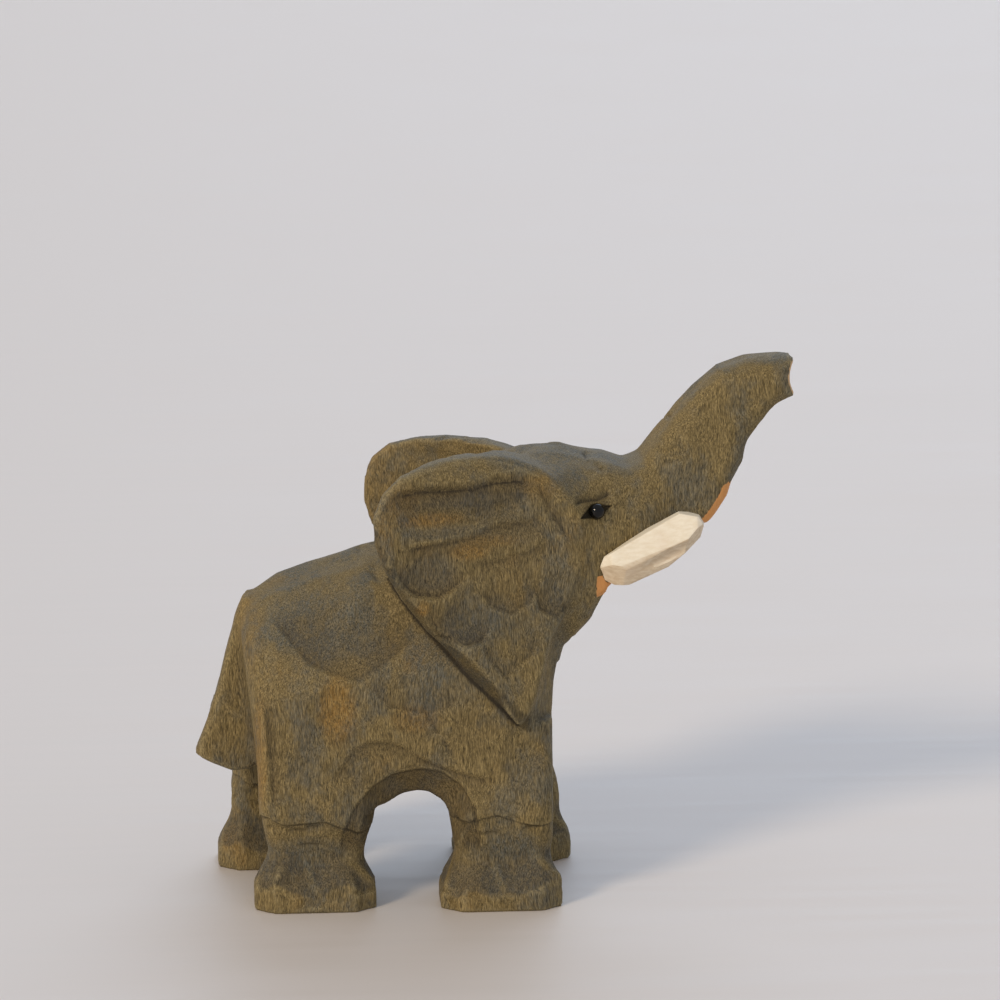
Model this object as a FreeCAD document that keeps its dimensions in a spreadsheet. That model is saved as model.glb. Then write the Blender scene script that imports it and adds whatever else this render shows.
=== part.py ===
import FreeCAD, Part
import math
import os

import Sketcher
from FreeCAD import Placement, Rotation, Vector

# Carved wooden elephant: one carved block, two glued-in tusks and two bead eyes on pins.
#
# The figure is laid out as a carver lays it out, from squared side, front and top patterns drawn on
# the blank. Every outline point is a percentage of the blank: X along its length (-50 at the tail
# tip, +50 at the trunk tip), Y across its span (+-50 at the ears' rear edges) and Z up its height
# (0 at the soles, 100 at the top of the trunk). Negative Y is the elephant's right side.

DRIVING_SIZES = {
    "blank_length": 92.4,
    "blank_span": 43.0,
    "blank_height": 82.5,
    "ear_thickness": 4.6,
    "ear_lean": 7.5,
    "left_ear_drop": 2.2,
    "arch_radius": 5.9,
    "tunnel_radius": 5.3,
    "arch_height": 18.5,
    "tunnel_height": 17.5,
    "trunk_tip_hollow": 2.6,
    "tusk_length": 17.2,
    "tusk_depth": 6.9,
    "tusk_width": 5.4,
    "tusk_rise": 24.0,
    "tenon_diameter": 3.0,
    "tenon_length": 5.0,
    "glue_gap": 0.05,
    "bead_diameter": 2.5,
    "pin_diameter": 0.6,
    "pin_length": 7.0,
    "pin_in_bead": 1.4,
}
SIDES = {"right": -1, "left": 1}
CELL_OF_AXIS = {"x": "blank_length", "y": "blank_span", "z": "blank_height"}

# Side pattern (x, z) of each region of the block.
TORSO_SIDE = [
    (-42.3, 50.6), (-40.7, 53.4), (-35.9, 57.4), (-31, 59.4), (-26, 61), (-20, 62.4), (-6, 64.5),
    (4, 57), (8, 48), (8.4, 36), (7.9, 17), (-38.8, 17), (-39.6, 26), (-41.4, 38),
]
HEAD_SIDE = [
    (-24, 60.5), (-14, 68), (-6, 76), (-1, 81), (3, 82.8), (8, 83.6), (12, 83.2), (16.2, 81),
    (22, 78.6), (29, 68), (18.8, 61.4), (18.4, 57.4), (16, 55), (14.8, 51.6), (13, 50.6),
    (10.2, 48), (9.6, 45), (8.6, 41), (8, 30), (-14, 30), (-24, 48),
]
TAIL_SIDE = [
    (-39, 57), (-42.2, 52.6), (-43.3, 49.6), (-45.8, 39), (-48.1, 31.2), (-50, 25.8), (-47.2, 24.8),
    (-43.8, 23.4), (-38, 23.2), (-36, 50),
]
EAR_SIDE = [
    (7, 80.6), (3, 82.8), (-1, 83.6), (-6.8, 83.6), (-11.6, 82.8), (-16.4, 81), (-19.2, 78.6),
    (-20.8, 75), (-21, 70.6), (-19.7, 66), (-16.4, 59.4), (-12.4, 53.2), (-8.4, 48.6), (-4.4, 43.6),
    (-0.4, 39), (2.8, 34.8), (5.4, 38.2), (8, 42.4), (9, 47), (13, 50), (14, 62), (11.5, 76),
]
MOUTH_SIDE = [(34, 69.4), (14, 61.4), (14, 58.4), (20, 57.4)]
MOUTH_WIDTH = 22

# Front pattern (y, z), one half, and top pattern (x, y), one half; both are mirrored.
TORSO_FRONT = [(0, 65), (12, 64.2), (26, 60), (36, 51), (39.5, 38), (38.5, 24), (37.5, 17), (0, 17)]
TORSO_TOP = [(-42.6, 0), (-42.6, 14), (-39.5, 29), (-31, 39.5), (2, 39.5), (7, 34), (8.6, 22), (8.6, 0)]
HEAD_FRONT = [(0, 84), (9, 83), (20, 78), (26.5, 71), (29, 62), (25, 54), (21, 44), (20, 28), (0, 28)]
HEAD_TOP = [
    (-24.2, 0), (-24.2, 27), (-10, 31), (6, 30), (14, 28), (18, 26), (22, 19.5), (29.2, 15), (29.2, 0),
]
TAIL_FRONT = [(0, 58.2), (4.5, 58.2), (6, 44), (7.5, 30), (6.5, 23), (0, 23)]

# Trunk stations: upper edge (x, z), lower edge (x, z) and half width y.
TRUNK_STATIONS = [
    ((18, 77.5), (22.5, 64.5), 17), ((25, 80.2), (31.9, 69.8), 14), ((30.6, 89.2), (38.6, 76.8), 12),
    ((37.6, 97), (43, 87), 10.8), ((42, 100), (46, 90.8), 10), ((49.8, 100), (50, 92.8), 9),
]

# Leg stations: height z, length along x, inner and outer faces y, and how far it is from foot (0) to hip (1).
LEG_STATIONS = [
    (0, 18.6, 12.4, 38, 0), (3.6, 19.8, 12, 40.5, 0), (8.6, 16.6, 14, 37.5, 0.1),
    (13.2, 15, 14.5, 36.6, 0.2), (17.4, 17.4, 13.5, 39, 0.4), (24, 19, 12, 38, 0.6), (42, 14, 10, 28, 1),
]
LEG_CORNER = 0.28
TRUNK_CORNER = 0.3
# Centre x of each foot and of the hip or shoulder above it, and how far outward the foot is moved.
LEG_PLACES = {
    ("right", "hind"): (-30.4, -28, 0), ("right", "front"): (0.3, -3, 2),
    ("left", "hind"): (-36.4, -29, 0), ("left", "front"): (4, -3, 2),
}

# Ear slab in the top pattern (x, y): its outer face runs from the cheek to the flared rear edge. It
# leans outwards below the height EAR_TOP.
EAR_CHEEK = (15, 22.5)
EAR_REAR = (-22, 47.6)
EAR_TOP = 85

# Tusk stations: share of the length, share of the depth and share of the width.
TUSK_STATIONS = [
    (0, 0.62, 0.72), (0.13, 0.94, 0.96), (0.42, 1, 1), (0.76, 0.86, 0.86), (0.94, 0.56, 0.6), (1, 0.3, 0.36),
]
TUSK_CORNER = 0.42
TUSK_ROOT = (17.2, 23.6, 61.6)
EYE_CENTRE = (16.2, 25.6, 73.4)
TRUNK_TIP = (49.8, 0, 96.2)
ARCH_X = -14.3
SOCKET_SLACK = 0.5
OVERRUN = 1.0
# Length of every cutting or clipping prism, in percent of the blank.
THROUGH = 220


doc = FreeCAD.newDocument("CarvedElephant")
sheet = doc.addObject("Spreadsheet::Sheet", "Sizes")


def fill_sheet():
    for row, (alias, value) in enumerate(DRIVING_SIZES.items(), start=1):
        sheet.set(f"A{row}", alias)
        sheet.set(f"B{row}", str(value))
        sheet.setAlias(f"B{row}", alias)
    doc.recompute()


def size(alias):
    return float(sheet.get(alias))


def share(axis, percent):
    """The expression for a percentage of the blank along one axis."""
    return f"Sizes.{CELL_OF_AXIS[axis]} * {percent} / 100"


def length_of(axis, percent):
    return size(CELL_OF_AXIS[axis]) * percent / 100


def outline(name, points):
    """A closed sketch whose corners are bound to expressions, given as ((expr, mm), (expr, mm))."""
    sketch = doc.addObject("Sketcher::SketchObject", name)
    corners = [Vector(u[1], v[1], 0) for u, v in points]
    count = len(points)
    for i, corner in enumerate(corners):
        sketch.addGeometry(Part.LineSegment(corner, corners[(i + 1) % count]), False)
    for i in range(count):
        sketch.addConstraint(Sketcher.Constraint("Coincident", i, 2, (i + 1) % count, 1))
    for i, pair in enumerate(points):
        for kind, (expression, value) in zip(("DistanceX", "DistanceY"), pair):
            index = sketch.addConstraint(Sketcher.Constraint(kind, -1, 1, i, 1, value))
            sketch.setExpression(f"Constraints[{index}]", expression)
    return sketch


def pattern(name, axes, points, half=False):
    """A pattern outline in percent along two axes, mirrored in y if half of it is given."""
    if half:
        y_at = axes.index("y")
        mirrored = [p for p in reversed(points) if p[y_at] != 0]
        points = points + [tuple(-c if k == y_at else c for k, c in enumerate(p)) for p in mirrored]
    bound = [tuple((share(a, c), length_of(a, c)) for a, c in zip(axes, p)) for p in points]
    sketch = outline(name, bound)
    turns = {"xz": Rotation(Vector(1, 0, 0), 90), "xy": Rotation(), "yz": Rotation(Vector(1, 1, 1), 120)}
    sketch.Placement = Placement(Vector(), turns[axes])
    return sketch


def bind_position(item, x, y, z):
    """Tie an object's position to percentages of the blank."""
    for axis, percent in (("x", x), ("y", y), ("z", z)):
        item.setExpression(f"Placement.Base.{axis}", share(axis, percent))


def extrusion(name, sketch, direction, length):
    body = doc.addObject("Part::Extrusion", name)
    body.Base = sketch
    body.DirMode = "Custom"
    body.Dir = direction
    body.Solid = True
    body.Symmetric = True
    body.setExpression("LengthFwd", length)
    return body


def combine(kind, name, shapes):
    body = doc.addObject(f"Part::{kind}", name)
    body.Shapes = shapes
    return body


def difference(name, base, tool):
    body = doc.addObject("Part::Cut", name)
    body.Base, body.Tool = base, tool
    return body


def prism(name, axes, points, half=False):
    """A pattern carried right through the blank along the third axis."""
    across = {"xz": "y", "xy": "z", "yz": "x"}[axes]
    direction = {"x": Vector(1, 0, 0), "y": Vector(0, 1, 0), "z": Vector(0, 0, 1)}[across]
    sketch = pattern(f"{name}_outline", axes, points, half)
    return extrusion(name, sketch, direction, share(across, THROUGH))


def loft(name, sketches):
    body = doc.addObject("Part::Loft", name)
    body.Sections = sketches
    body.Solid = True
    body.Ruled = True
    return body


def octagon(name, half_u, half_v, corner):
    """A rectangle with cut corners about its own origin; half sizes are (expression, mm)."""
    def scaled(half, factor):
        return (f"({half[0]}) * {factor}", half[1] * factor)

    inset = 1 - corner
    quarter = [(1, inset), (inset, 1)]
    upper = quarter + [(-u, v) for u, v in reversed(quarter)]
    corners = upper + [(-u, -v) for u, v in upper]
    return outline(name, [(scaled(half_u, u), scaled(half_v, v)) for u, v in corners])


def torso():
    return combine("MultiCommon", "torso", [
        prism("torso_side", "xz", TORSO_SIDE),
        prism("torso_front", "yz", TORSO_FRONT, half=True),
        prism("torso_top", "xy", TORSO_TOP, half=True),
    ])


def head():
    return combine("MultiCommon", "head", [
        prism("head_side", "xz", HEAD_SIDE),
        prism("head_front", "yz", HEAD_FRONT, half=True),
        prism("head_top", "xy", HEAD_TOP, half=True),
    ])


def tail():
    return combine("MultiCommon", "tail", [
        prism("tail_side", "xz", TAIL_SIDE),
        prism("tail_front", "yz", TAIL_FRONT, half=True),
    ])


def trunk():
    """Cut-cornered sections square to the trunk's line, which curves up from the brow."""
    sections = []
    for i, (upper, lower, half_y) in enumerate(TRUNK_STATIONS):
        top = Vector(length_of("x", upper[0]), 0, length_of("z", upper[1]))
        bottom = Vector(length_of("x", lower[0]), 0, length_of("z", lower[1]))
        depth = (top - bottom).Length / 2
        dx = f"(Sizes.blank_length * {upper[0] - lower[0]} / 200)"
        dz = f"(Sizes.blank_height * {upper[1] - lower[1]} / 200)"
        half_depth = (f"sqrt({dx} * {dx} + {dz} * {dz})", depth)
        half_width = (share("y", half_y), length_of("y", half_y))
        section = octagon(f"trunk_section_{i}", half_depth, half_width, TRUNK_CORNER)
        lean = math.degrees(math.atan2(top.z - bottom.z, top.x - bottom.x))
        turn = Rotation(Vector(0, 1, 0), -lean)
        section.Placement = Placement(Vector(), turn)
        bind_position(section, (upper[0] + lower[0]) / 2, 0, (upper[1] + lower[1]) / 2)
        sections.append(section)
    return loft("trunk", sections)


def leg(side, end):
    """One leg as stacked cut-cornered sections: foot, ankle, knee step and a root inside the block."""
    sign = SIDES[side]
    foot_x, hip_x, stance = LEG_PLACES[side, end]
    sections = []
    for i, (z, long_x, inner, outer, up) in enumerate(LEG_STATIONS):
        half_x = (share("x", long_x / 2), length_of("x", long_x / 2))
        half_y = (share("y", (outer - inner) / 2), length_of("y", (outer - inner) / 2))
        section = octagon(f"{end}_{side}_section_{i}", half_x, half_y, LEG_CORNER)
        centre_y = (outer + inner) / 2 + stance * (1 - up)
        bind_position(section, foot_x + (hip_x - foot_x) * up, sign * centre_y, z)
        sections.append(section)
    return loft(f"{end}_leg_{side}", sections)


def ear(side):
    """The ear's side outline cut from a slab that flares to the rear and leans out at the foot."""
    sign = SIDES[side]
    (x0, y0), (x1, y1) = EAR_CHEEK, EAR_REAR
    faces = [(x0, y0, 0), (x1, y1, 0), (x1, y1, -1), (x0, y0, -1)]
    corners = []
    for x, y, inward in faces:
        expression = f"{sign} * ({share('y', y)} + Sizes.ear_thickness * {inward})"
        value = sign * (length_of("y", y) + size("ear_thickness") * inward)
        corners.append(((share("x", x), length_of("x", x)), (expression, value)))
    slab_sketch = outline(f"ear_{side}_slab_outline", corners)
    slab_sketch.setExpression("Placement.Base.z", share("z", EAR_TOP))
    out = sign * math.tan(math.radians(size("ear_lean")))
    slab = extrusion(f"ear_{side}_slab", slab_sketch, Vector(0, out, -1), share("z", THROUGH))
    body = combine("MultiCommon", f"ear_{side}", [prism(f"ear_{side}_side", "xz", EAR_SIDE), slab])
    if side == "left":
        body.setExpression("Placement.Base.z", "-Sizes.left_ear_drop")
    return body


def cylinder(name, radius, height, start, direction):
    body = doc.addObject("Part::Cylinder", name)
    body.setExpression("Radius", radius)
    body.setExpression("Height", height)
    body.Placement = Placement(start, Rotation(Vector(0, 0, 1), direction))
    return body


def tusk_place(side):
    """The tusk's root on the mouth's corner, with local +X up along the tusk."""
    x, y, z = TUSK_ROOT
    root = Vector(length_of("x", x), SIDES[side] * length_of("y", y), length_of("z", z))
    return Placement(root, Rotation(Vector(0, 1, 0), -size("tusk_rise")))


def eye_place(side):
    """The bead's centre, with local +Z pointing out of the head."""
    x, y, z = EYE_CENTRE
    centre = Vector(length_of("x", x), SIDES[side] * length_of("y", y), length_of("z", z))
    return Placement(centre, Rotation(Vector(1, 0, 0), -90 * SIDES[side]))


def sockets():
    """Blind holes for the tusk tenons and the eye pins, and the bead's seat."""
    tools = []
    for side in SIDES:
        place = tusk_place(side)
        back = place.Rotation.multVec(Vector(-1, 0, 0))
        tools.append(cylinder(
            f"tenon_socket_{side}", "Sizes.tenon_diameter / 2 + Sizes.glue_gap",
            f"Sizes.tenon_length + {SOCKET_SLACK + OVERRUN}", place.Base - back * OVERRUN, back,
        ))
        inward = Vector(0, -SIDES[side], 0)
        tools.append(cylinder(
            f"pin_hole_{side}", "Sizes.pin_diameter / 2",
            "Sizes.pin_length + Sizes.pin_diameter * 2", eye_place(side).Base, inward,
        ))
        seat = doc.addObject("Part::Sphere", f"bead_seat_{side}")
        seat.setExpression("Radius", "Sizes.bead_diameter / 2 + Sizes.glue_gap")
        seat.Placement = eye_place(side)
        tools.append(seat)
    return tools


def vault(name, radius, top, direction, start):
    """A round-topped passage through the block, bored along one axis."""
    bore = cylinder(name, radius, share("x", THROUGH), start, direction)
    bore.setExpression("Placement.Base.z", f"{top} - {radius}")
    return bore


def trunk_hollow():
    hollow = doc.addObject("Part::Sphere", "trunk_tip_hollow")
    hollow.setExpression("Radius", "Sizes.trunk_tip_hollow")
    bind_position(hollow, *TRUNK_TIP)
    hollow.setExpression("Placement.Base.x", f"{share('x', TRUNK_TIP[0])} + Sizes.trunk_tip_hollow * 0.7")
    return hollow


def carved_body(tusks):
    """The block as one solid, cut to bed the tusks: all but tusks and eyes is one piece of wood."""
    legs = [leg(side, end) for side, end in LEG_PLACES]
    ears = [ear(side) for side in SIDES]
    blank = combine("MultiFuse", "blank", [torso(), head(), trunk(), tail(), *legs, *ears])
    mouth_outline = pattern("mouth_outline", "xz", MOUTH_SIDE)
    mouth = extrusion("mouth_cut", mouth_outline, Vector(0, 1, 0), share("y", MOUTH_WIDTH))
    beyond = length_of("x", THROUGH / 2)
    arch_start = Vector(length_of("x", ARCH_X), -beyond, 0)
    arch = vault("arch_cut", "Sizes.arch_radius", "Sizes.arch_height", Vector(0, 1, 0), arch_start)
    tunnel_start = Vector(-beyond, 0, 0)
    tunnel = vault("tunnel_cut", "Sizes.tunnel_radius", "Sizes.tunnel_height", Vector(1, 0, 0), tunnel_start)
    waste = combine("MultiFuse", "waste", [mouth, arch, tunnel, trunk_hollow(), *sockets(), *tusks])
    body = difference("carved_body", blank, waste)
    body.Label = "carved_body"
    return body


def tusk(side):
    """A whittled tusk in its own frame: a cut-cornered taper on a round tenon."""
    sections = []
    for i, (along, depth, width) in enumerate(TUSK_STATIONS):
        half_z = (f"Sizes.tusk_depth / 2 * {depth}", size("tusk_depth") / 2 * depth)
        half_y = (f"Sizes.tusk_width / 2 * {width}", size("tusk_width") / 2 * width)
        section = octagon(f"tusk_{side}_section_{i}", half_z, half_y, TUSK_CORNER)
        section.Placement = Placement(Vector(), Rotation(Vector(0, 1, 0), 90))
        section.setExpression("Placement.Base.x", f"Sizes.tusk_length * {along}")
        sections.append(section)
    tenon_start = Vector(OVERRUN, 0, 0)
    tenon_length = f"Sizes.tenon_length + {OVERRUN}"
    tenon = cylinder(f"tenon_{side}", "Sizes.tenon_diameter / 2", tenon_length, tenon_start, Vector(-1, 0, 0))
    body = combine("MultiFuse", f"tusk_{side}", [loft(f"tusk_taper_{side}", sections), tenon])
    body.Placement = tusk_place(side)
    body.Label = f"tusk_{side}"
    return body


def eye(side):
    """A glass bead melted round the end of a steel pin."""
    bead = doc.addObject("Part::Sphere", f"glass_{side}")
    bead.setExpression("Radius", "Sizes.bead_diameter / 2")
    down = Vector(0, 0, -1)
    start = Vector(0, 0, size("pin_in_bead") - size("bead_diameter") / 2)
    bore = cylinder(f"bead_bore_{side}", "Sizes.pin_diameter / 2", "Sizes.bead_diameter", start, down)
    drilled = difference(f"eye_bead_{side}", bead, bore)
    shank = cylinder(f"pin_shank_{side}", "Sizes.pin_diameter / 2", "Sizes.pin_length", start, down)
    point = doc.addObject("Part::Cone", f"pin_point_{side}")
    point.setExpression("Radius1", "Sizes.pin_diameter / 2")
    point.Radius2 = 0
    point.setExpression("Height", "Sizes.pin_diameter * 2")
    point.Placement = Placement(start + down * size("pin_length"), Rotation(Vector(0, 0, 1), down))
    pin = combine("MultiFuse", f"eye_pin_{side}", [shank, point])
    for piece in (drilled, pin):
        piece.Placement = eye_place(side)
        piece.Label = piece.Name
    return drilled, pin


def check(pieces):
    """Stop unless every object recomputed and every piece is one valid solid."""
    for item in doc.Objects:
        if {"Invalid", "Error"} & set(item.State):
            raise RuntimeError(f"{item.Name} failed: {item.State}")
    for piece in pieces:
        if piece.Shape.isNull() or not piece.Shape.isValid() or len(piece.Shape.Solids) != 1:
            raise RuntimeError(f"{piece.Label} is not one valid solid")


def main():
    fill_sheet()
    tusks = [tusk(side) for side in SIDES]
    eyes = [piece for side in SIDES for piece in eye(side)]
    pieces = [carved_body(tusks), *tusks, *eyes]
    doc.recompute()
    check(pieces)
    os.makedirs("parts", exist_ok=True)
    for piece in pieces:
        piece.Shape.exportStep(f"parts/{piece.Label}.step")
        print(piece.Label, round(piece.Shape.Volume, 1), piece.Shape.BoundBox)


main()
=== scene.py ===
import math

import bmesh
import bpy
import numpy as np
from mathutils import Matrix, Vector


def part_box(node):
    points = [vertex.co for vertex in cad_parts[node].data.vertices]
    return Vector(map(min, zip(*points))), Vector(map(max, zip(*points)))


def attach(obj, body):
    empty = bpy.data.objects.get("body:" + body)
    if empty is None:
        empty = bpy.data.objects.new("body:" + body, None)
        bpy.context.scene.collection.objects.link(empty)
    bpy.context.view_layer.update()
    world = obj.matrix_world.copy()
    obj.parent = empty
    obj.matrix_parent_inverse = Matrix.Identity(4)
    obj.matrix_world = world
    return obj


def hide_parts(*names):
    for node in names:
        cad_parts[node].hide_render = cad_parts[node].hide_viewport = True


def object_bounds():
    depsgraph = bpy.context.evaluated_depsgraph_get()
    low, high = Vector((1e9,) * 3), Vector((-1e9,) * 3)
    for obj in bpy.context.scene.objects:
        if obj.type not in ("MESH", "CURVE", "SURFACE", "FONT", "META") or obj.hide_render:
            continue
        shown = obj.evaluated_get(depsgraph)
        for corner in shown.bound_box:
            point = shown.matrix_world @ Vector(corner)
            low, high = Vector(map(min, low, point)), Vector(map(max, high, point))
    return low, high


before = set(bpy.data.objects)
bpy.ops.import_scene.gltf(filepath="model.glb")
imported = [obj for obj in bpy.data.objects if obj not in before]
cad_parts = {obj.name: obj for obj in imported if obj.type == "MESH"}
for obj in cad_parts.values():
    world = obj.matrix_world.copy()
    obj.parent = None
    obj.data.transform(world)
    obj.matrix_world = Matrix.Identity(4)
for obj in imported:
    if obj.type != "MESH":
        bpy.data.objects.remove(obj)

# The carved elephant is modelled in millimetres at its nominal length and scaled to the packed
# model. +X is forwards and -Y is the elephant's right. The block is cut from side, front and top
# patterns held as distance fields, meshed on a grid of CELL, worked over with a knife stroke by
# stroke, and last has the seats of the tusks, beads and pins cut out of it.
CAD_LOW, CAD_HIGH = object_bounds()
NOMINAL_LENGTH = 92.4
MM = (CAD_HIGH.x - CAD_LOW.x) / NOMINAL_LENGTH
CELL = 0.55
RELAX_ROUNDS = 3
GRID_LOW = (-48.0, -24.4, -1.6)
GRID_HIGH = (48.0, 24.4, 84.4)

# Side pattern (x, z), front half pattern (y, z) and top half pattern (x, y), in millimetres.
TORSO_SIDE = [
    (-39.3, 70), (-39.2, 42), (-37.7, 31), (-36.4, 20), (-36.2, 16), (7.3, 16), (7.4, 20), (8.0, 30),
    (7.7, 39.6), (4.4, 47), (2.0, 70),
]
TORSO_BACK = [
    (-40, 43), (-39.2, 44.0), (-37.6, 46.2), (-33.2, 49.3), (-28.7, 50.9), (-24, 52.3), (-18.6, 53.1),
    (-5, 54.2), (8, 54.2),
]
TORSO_FRONT = [
    (0, 54), (5.4, 52.3), (10.8, 48.2), (16.5, 37.2), (17.3, 29), (16.9, 20), (16.5, 8), (0, 8),
]
TORSO_TOP = [
    (-39.8, 0), (-39.4, 8), (-36.2, 16.4), (-30, 17.6), (0, 17.6), (4.6, 15.8), (8.2, 10.5), (8.4, 0),
]
HEAD_SIDE = [
    (-22, 76), (21, 76), (21.4, 66), (25.4, 54.6), (17.6, 50.4), (17.5, 48.5), (16.1, 47.1),
    (15.4, 45.8), (14.2, 43.0), (12.7, 41.4), (10.3, 39), (9.7, 36.8), (8.5, 33.5), (8.2, 29), (5, 25),
    (-15, 25), (-22, 45),
]
HEAD_CROWN = [
    (-24, 51.5), (-14, 54.5), (-8, 60), (-3, 65.2), (1.8, 67.8), (4.9, 68.7), (8, 69.1), (10.3, 69.0),
    (14.9, 67.3), (19.5, 65.2), (24, 63.6), (30, 62),
]
HEAD_FRONT = [
    (0, 69), (4.6, 68.2), (8.8, 65.6), (11.2, 61.6), (12.4, 56), (12.8, 50), (11.6, 45), (9.4, 38),
    (8.6, 22), (0, 22),
]
HEAD_TOP = [
    (-22.5, 0), (-22.5, 11.5), (-10, 13.2), (4, 13.2), (11, 12.8), (15.6, 12.0), (19, 9.8), (24, 7.4),
    (27, 6.4), (27, 0),
]
TRUNK_SIDE = [
    (12, 65), (17, 66.2), (20.3, 65.3), (22.6, 66.9), (24.9, 70.1), (27.9, 74.0), (31, 77.5), (34.5, 80.5),
    (38.6, 82.0), (42, 82.3), (45.9, 82.5), (46.2, 76.2), (43.3, 74.9), (40.6, 71.9), (38.8, 69.5),
    (38.2, 66.6), (36.3, 63.2), (35.7, 61.2), (33.8, 58.4), (32.4, 56.8), (28, 55.3), (22, 52.8),
    (16, 50.6), (11, 56),
]
TAIL_SIDE = [
    (-38, 46.6), (-39.6, 42.6), (-41.2, 37.1), (-42.3, 32.4), (-44.4, 26), (-46.2, 21.2), (-43.6, 19.9),
    (-40.5, 18.6), (-37.4, 18.9), (-36.4, 24), (-35.5, 42),
]
EAR_SIDE = [
    (6.3, 67.5), (2.6, 69.0), (-0.4, 69.7), (-6.3, 69.8), (-10.7, 69.2), (-15.1, 67.7), (-17.7, 65.4),
    (-19.2, 62), (-19.3, 58.3), (-18.2, 54.6), (-15.2, 49.2), (-11.5, 44.3), (-7.8, 40.6), (-4.1, 36.5),
    (-0.4, 32.8), (2.8, 29.0), (4.4, 31), (5.6, 34), (6.6, 37.6), (7.6, 41.6), (9.8, 45.6), (11.6, 52),
    (11.6, 60), (9.0, 65.6),
]
ARCH_SIDE = [
    (-20.6, -3), (-20.3, 7.8), (-20.0, 11.2), (-18.7, 14.2), (-16.8, 16.4), (-14.8, 17.6), (-12.4, 18.1),
    (-10.7, 17.8), (-8.9, 16.6), (-7.7, 14.7), (-7.1, 11), (-7.6, 6.3), (-8.2, -3),
]
MOUTH_SIDE = [(32, 57.4), (26, 54.6), (14, 49.8), (12.6, 48.6), (16.6, 47.6), (20, 46.6), (32, 50)]
MOUTH_HALF_WIDTH = 5.0
TRUNK_X, TRUNK_Z = 0.62, 0.785  # the trunk's own direction, upwards and forwards
TUNNEL_HALF_WIDTH, TUNNEL_TOP = 5.3, 17.4
TRUNK_TIP_HOLLOW = ((47.9, 0.0, 79.2), 3.3)
EAR_DROP = {"right": 0.0, "left": 2.2}

# Foot centre x and outward shift y for each leg, and how the leg's faces run with height:
# z, back, front (from the centre), inner and outer (from the middle plane).
FEET = {
    ("right", "hind"): (-28.1, 0.0), ("right", "front"): (0.3, 1.2),
    ("left", "hind"): (-33.6, 0.0), ("left", "front"): (3.7, 1.0),
}
LEG_FACES = [
    (-2.0, 7.2, 7.8, 6.6, 14.7), (8.6, 7.0, 7.6, 6.6, 15.0), (13.2, 7.9, 8.4, 5.9, 16.4),
    (19.0, 8.0, 9.0, 5.8, 16.6),
]
THIGH_FACES = [
    (12.0, 8.3, 8.8, 5.7, 16.9), (14.6, 8.4, 9.1, 5.7, 17.0), (19.0, 8.3, 9.6, 5.6, 17.1),
    (30.0, 8.3, 10.0, 5.6, 15.0),
]
FOOT_HALF_LENGTH, FOOT_HALF_WIDTH, FOOT_SLOPE = 9.3, 6.1, 0.5
FOOT_CORNER_CUT = (0.6, 0.8, 8.5)
FOOT_MIDDLE, LEG_REACH = 11.05, 11
ARCH_BACK, ARCH_FRONT = -19.2, -8.2
ARCH_BAND = 4.2
SIDES = {"right": -1, "left": 1}


# Heights of the step above the ankle round the near hind and front legs: (degrees, mm).
KNEES = {
    "hind": [(-180, 14.6), (-144, 15.1), (-129, 13.9), (-107, 14.2), (-74, 14.4), (-51, 13.2), (-38, 12.2),
             (0, 13.4), (34, 14.4), (70, 13.5), (112, 14.6), (150, 13.8), (180, 14.6)],
    "front": [(-180, 14.4), (-135, 14.0), (-120, 14.7), (-98, 15.1), (-65, 14.0), (-43, 13.3), (0, 13.9),
              (40, 14.7), (80, 13.7), (120, 14.5), (155, 13.9), (180, 14.4)],
}


# Heights of the upright rim round the near hind and front feet: (degrees, mm).
FOOT_RIMS = {
    "hind": [(-180, 3.0), (-146, 3.4), (-139, 4.4), (-122, 2.8), (-90, 2.0), (-51, 4.2), (-34, 2.6), (0, 3.2),
             (45, 2.2), (80, 3.6), (125, 2.3), (180, 3.0)],
    "front": [(-180, 2.6), (-143, 1.8), (-130, 3.0), (-105, 2.1), (-66, 2.4), (-37, 4.2), (-12, 3.6),
              (20, 2.4), (60, 3.4), (110, 2.2), (150, 3.2), (180, 2.6)],
}


def foot_middle(side, end):
    """How far a foot's middle is from the figure's middle plane."""
    return FOOT_MIDDLE + FEET[side, end][1]


def leg_angle(side, end, x, y):
    """The direction of a place from a leg's middle: 0 ahead, -90 outwards, in degrees."""
    angle = np.degrees(np.arctan2(foot_middle(side, end) - y * SIDES[side], x - FEET[side, end][0]))
    return -angle if side == "left" else angle


def knee_height(side, end, x, y):
    """The height of the step over the ankle at places round a leg."""
    return np.interp(leg_angle(side, end, x, y), *np.array(KNEES[end], float).T)


def rim_height(side, end, x, y):
    """The height of a foot's upright rim at places round it."""
    return np.interp(leg_angle(side, end, x, y), *np.array(FOOT_RIMS[end], float).T)


def facet_middle(side, end, x, y, z):
    """0 on the slanting ridges between the cuts above a foot's rim, and 1 on the cuts."""
    lean = np.radians(2.5 * leg_angle(side, end, x, y) + 12 * z)
    return ease(np.abs(np.sin(lean)), 0.08, 0.45)


def smooth_max(a, b, k):
    """The larger of two fields, with the corner between them rounded over k."""
    blend = np.maximum(k - np.abs(a - b), 0.0) / k
    return np.maximum(a, b) + blend * blend * k * 0.25


def smooth_min(a, b, k):
    return -smooth_max(-a, -b, k)


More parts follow.
